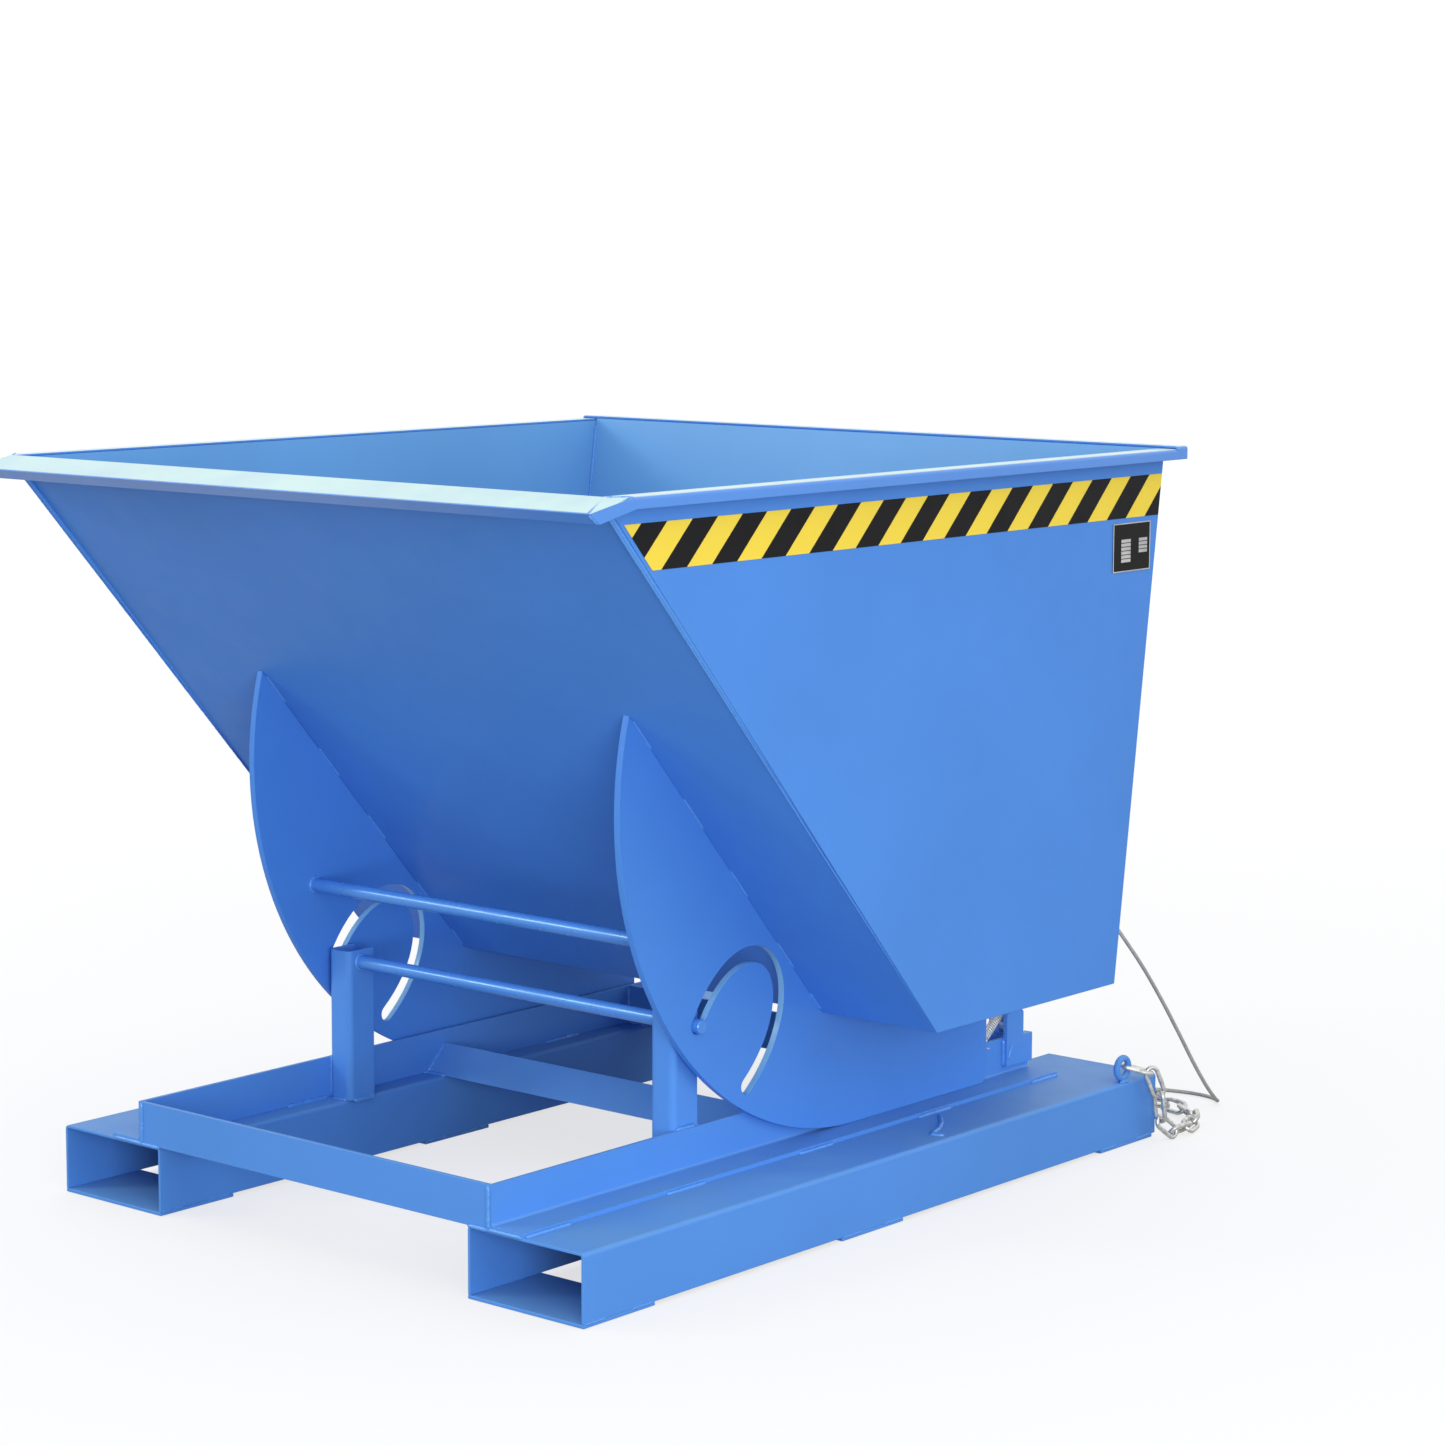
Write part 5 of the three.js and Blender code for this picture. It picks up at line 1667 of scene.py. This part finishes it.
@dataclass
class PullRope:
    """The pull rope: a free run to the floor, a coil on it, and the handle.

    The rope's own list is in millimetres, from the pockets' front ends.
    """

    shop: Shop
    radius: float = 0.003
    sides: int = 24
    spacing: float = 0.0032
    strands: int = 6
    groove_share: float = 0.10
    lay: float = 0.042
    front_end: float = -0.67823
    millimetre: float = 0.001
    start: Point = (312.35, 1219.073, 490.874)
    pull: Point = (0.0, 0.642788, -0.766044)
    route: tuple[Point, ...] = (
        (311, 1250, 461),
        (326, 1286, 405),
        (351, 1322, 345),
        (379, 1352, 288),
        (402, 1383, 232),
        (420, 1412, 176),
        (436, 1438, 121),
        (450, 1462, 70),
        (460, 1483, 33),
        (463, 1503, 11),
        (456, 1520, 4),
        (440, 1532, 3.2),
        (413, 1538, 3.1),
        (375, 1534, 3.1),
        (325, 1515, 3.1),
        (270, 1486, 3.1),
        (212, 1459, 3.1),
        (165, 1447, 3),
    )
    route_steps: int = 12
    bend_ends_at: int = 5
    coil_centre: Pair = (120.0, 1400.0)
    coil_radius: float = 45.0
    coil_turns: int = 3
    coil_steps: int = 48
    lay_gap: float = 0.6
    touch_gap: float = 0.3
    tail: float = 38.0
    tail_steps: int = 10
    handle_radius: float = 12.0
    handle_sides: int = 40
    collar: tuple[Pair, ...] = (
        (0.0, 0.0),
        (0.0, 0.0052),
        (0.0008, 0.006),
        (0.0072, 0.006),
        (0.008, 0.0066),
    )
    shoulder: tuple[Pair, ...] = ((0.0082, 0.0035), (0.0092, 0.0012), (0.0105, 0.0002))
    butt: tuple[Pair, ...] = ((0.0095, 0.0002), (0.003, 0.0010), (0.0008, 0.003), (0.0, 0.006))
    ribs: int = 9
    rib_steps: int = 8
    rib_depth: float = 0.0006
    rib_inset: float = 0.012
    rib_sink: float = 0.0001
    waist: float = 0.0018

    @property
    def diameter(self) -> float:
        """The rope's diameter in millimetres."""
        return 2.0 * self.radius / self.millimetre

    def row(self, point: Vector) -> Vector:
        """A point of the rope's own list, in the frame."""
        return point * self.millimetre + at(0.0, self.front_end, 0.0)

    def lobes(self, turn: float, run: float) -> float:
        """The strands' share of the radius, by turn round the rope and metres along it."""
        strand = self.strands * (turn + TURN * run / self.lay)
        return 1.0 - self.groove_share + self.groove_share * abs(math.cos(strand / 2.0))

    def free_line(self) -> list[Vector]:
        """The free run, rounded through its points.

        Returns:
            Points a few millimetres apart, in the frame.
        """
        step = self.diameter
        x, y = self.coil_centre
        start = Vector(self.start)
        end = at(x + step + self.touch_gap, y + self.coil_radius, step / 2)
        points = [start, start + Vector(self.pull) * 2.0 * step]
        points += [Vector(p) for p in self.route]
        points += [end + at(step, 0.0, 0.0), end]
        return [self.row(p) for p in rounded_line(points, self.route_steps)]

    def coil_line(self) -> list[Vector]:
        """The coil: in on the floor, up a layer, and out on top.

        Returns:
            Points along the coil, in the frame.
        """
        x, y = self.coil_centre
        pitch = self.diameter + self.lay_gap
        total = 2 * self.coil_turns + 0.5
        steps = round(self.coil_steps * total)
        top = self.handle_radius - self.diameter / 2 - pitch
        points = []
        for i in range(steps + 1):
            turns = i / steps * total
            r = self.coil_radius - pitch * (total / 2 - abs(turns - total / 2))
            climb = min(1.0, max(0.0, (turns - self.coil_turns) * 2.0))
            rise = min(1.0, max(0.0, (turns - total) * 4.0 + 1.0))
            a = math.pi / 2 + TURN * turns
            z = self.diameter / 2 + climb * pitch + rise * top
            points.append(at(x + r * math.cos(a), y + r * math.sin(a), z))
        for i in range(1, self.tail_steps + 1):
            points.append(points[steps] + at(self.tail * i / self.tail_steps, 0.0, 0.0))
        return [self.row(p) for p in points]

    def build(self) -> None:
        """Lays the rope and puts its handle on."""
        line = even_line(self.free_line() + self.coil_line(), self.spacing)
        bm = tube(line, self.radius, self.sides, swell=self.lobes)
        piece = self.shop.dress(smooth_mesh("pull_rope_strands", bm, 80.0), Look.ROPE)
        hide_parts("pull_rope", "rope_coil")
        handle = self.handle(line[-1])
        upper = Box.of("rope_fitting").middle
        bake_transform(piece)

    def handle(self, end: Vector) -> Piece:
        """The grip on the rope's end, turned on the rope's own line.

        Args:
            end: where the rope goes in.

        Returns:
            The handle.
        """
        box = Box.of("rope_handle")
        r = self.handle_radius * self.millimetre
        length = box.high.x - box.low.x
        stops = [*self.collar, *((run, r - cut) for run, cut in self.shoulder)]
        steps = self.ribs * self.rib_steps
        for i in range(steps + 1):
            share = i / steps
            waist = self.waist * math.sin(math.pi * share) ** 2
            groove = self.rib_depth * (0.5 - 0.5 * math.cos(TURN * self.ribs * share))
            run = self.rib_inset + share * (length - 2 * self.rib_inset)
            stops.append((run, r - self.rib_sink - waist - groove))
        stops += [(length - run, r - cut) for run, cut in self.butt] + [(length, 0.0)]
        bm = turned([(box.low.x + run, radius) for run, radius in stops], end, self.handle_sides)
        grip = smooth_mesh("rope_handle_grip", bm, 50.0)
        return self.shop.place(grip, Look.GRIP, Body.BASE, ["rope_handle"])


@dataclass
class Signs:
    """The hazard tape, and the data plate with blank fields, on the right side."""

    shop: Shop
    tape_edge: float = 0.00015
    plate_edge: float = 0.0003
    border: float = 0.0016
    lift: float = 0.00015
    sink: float = 0.0002
    bar_share: float = 0.80
    columns: tuple[tuple[float, float, float, float, int], ...] = (
        (0.0205, 0.0440, 0.0235, 0.0575, 6),
        (0.0650, 0.0860, 0.0235, 0.0455, 4),
    )

    def build(self) -> None:
        """Dresses the tape, the plate and its bare bars."""
        self.shop.sheet("hazard_tape", self.tape_edge, Look.TAPE, Body.HOPPER)
        self.shop.sheet("data_plate", self.plate_edge, Look.PLATE, Body.HOPPER)
        low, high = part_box("data_plate")
        width = self.border
        fields = []
        for front, back, top, foot, count in self.columns:
            pitch = (foot - top) / count
            for i in range(count):
                z = high.z - top - pitch * i
                fields.append((low.y + front, low.y + back, z - pitch * self.bar_share, z))
        fields += [
            (low.y, high.y, low.z, low.z + width),
            (low.y, high.y, high.z - width, high.z),
            (low.y, low.y + width, low.z + width, high.z - width),
            (high.y - width, high.y, low.z + width, high.z - width),
        ]
        bars = []
        for y0, y1, z0, z1 in fields:
            bars.append(slab(at(high.x - self.sink, y0, z0), at(high.x + self.lift, y1, z1)))
        self.shop.place(smooth_mesh("data_plate_bars", gather(bars)), Look.BARE, Body.HOPPER)


@dataclass(frozen=True)
class Lamp:
    """A soft square lamp."""

    name: str
    place: Vector
    size: float
    watts: float
    target: Vector = Vector((0.0, 0.0, 0.5))

    def hang(self) -> None:
        """Puts the lamp in its place, turned to its target."""
        data = bpy.data.lights.new(self.name, "AREA")
        data.shape = "SQUARE"
        data.size = self.size
        data.energy = self.watts
        lamp = bpy.data.objects.new(self.name, data)
        turn = (self.target - self.place).to_track_quat("-Z", "Y").to_matrix().to_4x4()
        lamp.matrix_world = Matrix.Translation(self.place) @ turn
        bpy.context.scene.collection.objects.link(lamp)


@dataclass
class Studio:
    """A pale floor, soft light and the camera of the photograph."""

    place: Vector = Vector((3.4873, -3.97873, 1.3912))
    azimuth: float = 40.526
    elevation: float = 7.484
    roll: float = 0.149
    focal_share: float = 3684.95 / 1445.0
    shift: Pair = (0.0230, -0.0231)
    sensor: float = 36.0
    reach: float = 100.0
    floor_half: float = 30.0
    floor_drop: float = 0.0006
    floor_colour: Colour = (0.25, 0.25, 0.255)
    floor_pale: Pair = (0.71, 0.78)
    floor_distances: Pair = (2.0, 7.0)
    floor_mirrored: float = 0.4
    sky: Colour = (0.98, 0.99, 1.0)
    white: Colour = (1.0, 1.0, 1.0)
    lamps: tuple[Lamp, ...] = (
        Lamp("key", Vector((5.2, -0.4, 2.8)), 2.6, 14.0),
        Lamp("glint", Vector((-3.4, -3.6, 2.7)), 1.0, 42.0),
        Lamp("fill", Vector((4.0, -3.3, 0.8)), 1.8, 98.0, Vector((0.0, -0.1, 0.35))),
    )

    def camera(self) -> None:
        """Sets the camera at the photograph's place."""
        a = math.radians(self.azimuth)
        e = math.radians(self.elevation)
        r = math.radians(self.roll)
        back = at(math.sin(a) * math.cos(e), -math.cos(a) * math.cos(e), math.sin(e))
        right = at(math.cos(a), math.sin(a), 0.0)
        up = back.cross(right)
        x = right * math.cos(r) + up * math.sin(r)
        y = up * math.cos(r) - right * math.sin(r)
        data = bpy.data.cameras.new("camera")
        data.sensor_fit = "HORIZONTAL"
        data.sensor_width = self.sensor
        data.lens = self.focal_share * self.sensor
        data.shift_x, data.shift_y = self.shift
        data.clip_end = self.reach
        camera = bpy.data.objects.new("camera", data)
        turn = Matrix((x, y, back)).transposed().to_4x4()
        camera.matrix_world = Matrix.Translation(self.place) @ turn
        bpy.context.scene.collection.objects.link(camera)
        bpy.context.scene.camera = camera

    def floor(self) -> None:
        """A wide pale floor that fades into the background."""
        bm = bmesh.new()
        bmesh.ops.create_grid(bm, x_segments=4, y_segments=4, size=self.floor_half)
        bmesh.ops.translate(bm, vec=(0.0, 0.0, -self.floor_drop), verts=bm.verts)
        floor = smooth_mesh("floor", bm)
        r = Recipe("pale_floor")
        length = r.add("ShaderNodeVectorMath")
        length.operation = "LENGTH"
        r.feed(length, 0, r.place)
        pale = r.spread(length.outputs["Value"], self.floor_distances, self.floor_pale)
        inputs = {
            "Base Color": self.floor_colour,
            "Roughness": 0.9,
            "Specular IOR Level": 0.1,
            "Emission Color": self.white,
            "Emission Strength": r.math("MULTIPLY", r.seen_rays(self.floor_mirrored), pale),
        }
        floor.data.materials.append(r.finish(inputs))

    def world(self) -> None:
        """Even light from all round, and white behind the object."""
        world = bpy.data.worlds.new("studio")
        bpy.context.scene.world = world
        world.use_nodes = True
        graph = Graph(world.node_tree)
        mix = graph.add("ShaderNodeMixShader")
        graph.feed(mix, 0, graph.seen_rays(1.0))
        for key, colour in ((1, self.sky), (2, self.white)):
            shade = graph.add("ShaderNodeBackground", Color=colour, Strength=1.0)
            graph.feed(mix, key, shade.outputs[0])
        graph.add("ShaderNodeOutputWorld", Surface=mix.outputs[0])

    def build(self) -> None:
        """Sets floor, world, lamps and the plain view transform."""
        self.floor()
        self.world()
        for lamp in self.lamps:
            lamp.hang()
        bpy.context.scene.view_settings.view_transform = "Standard"


def main() -> None:
    """Builds the studio, the rope and every sub-assembly around the frame."""
    logging.basicConfig(level=logging.INFO, format="%(name)s: %(message)s")
    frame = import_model()
    studio = Studio()
    studio.camera()
    shop = Shop(frame["nodes"])
    for assembly in (PullRope, BaseFrame, Tank, Rims, Rockers, Latch, SafetyChain, Signs):
        assembly(shop).build()
    studio.build()


if __name__ == "__main__":
    main()
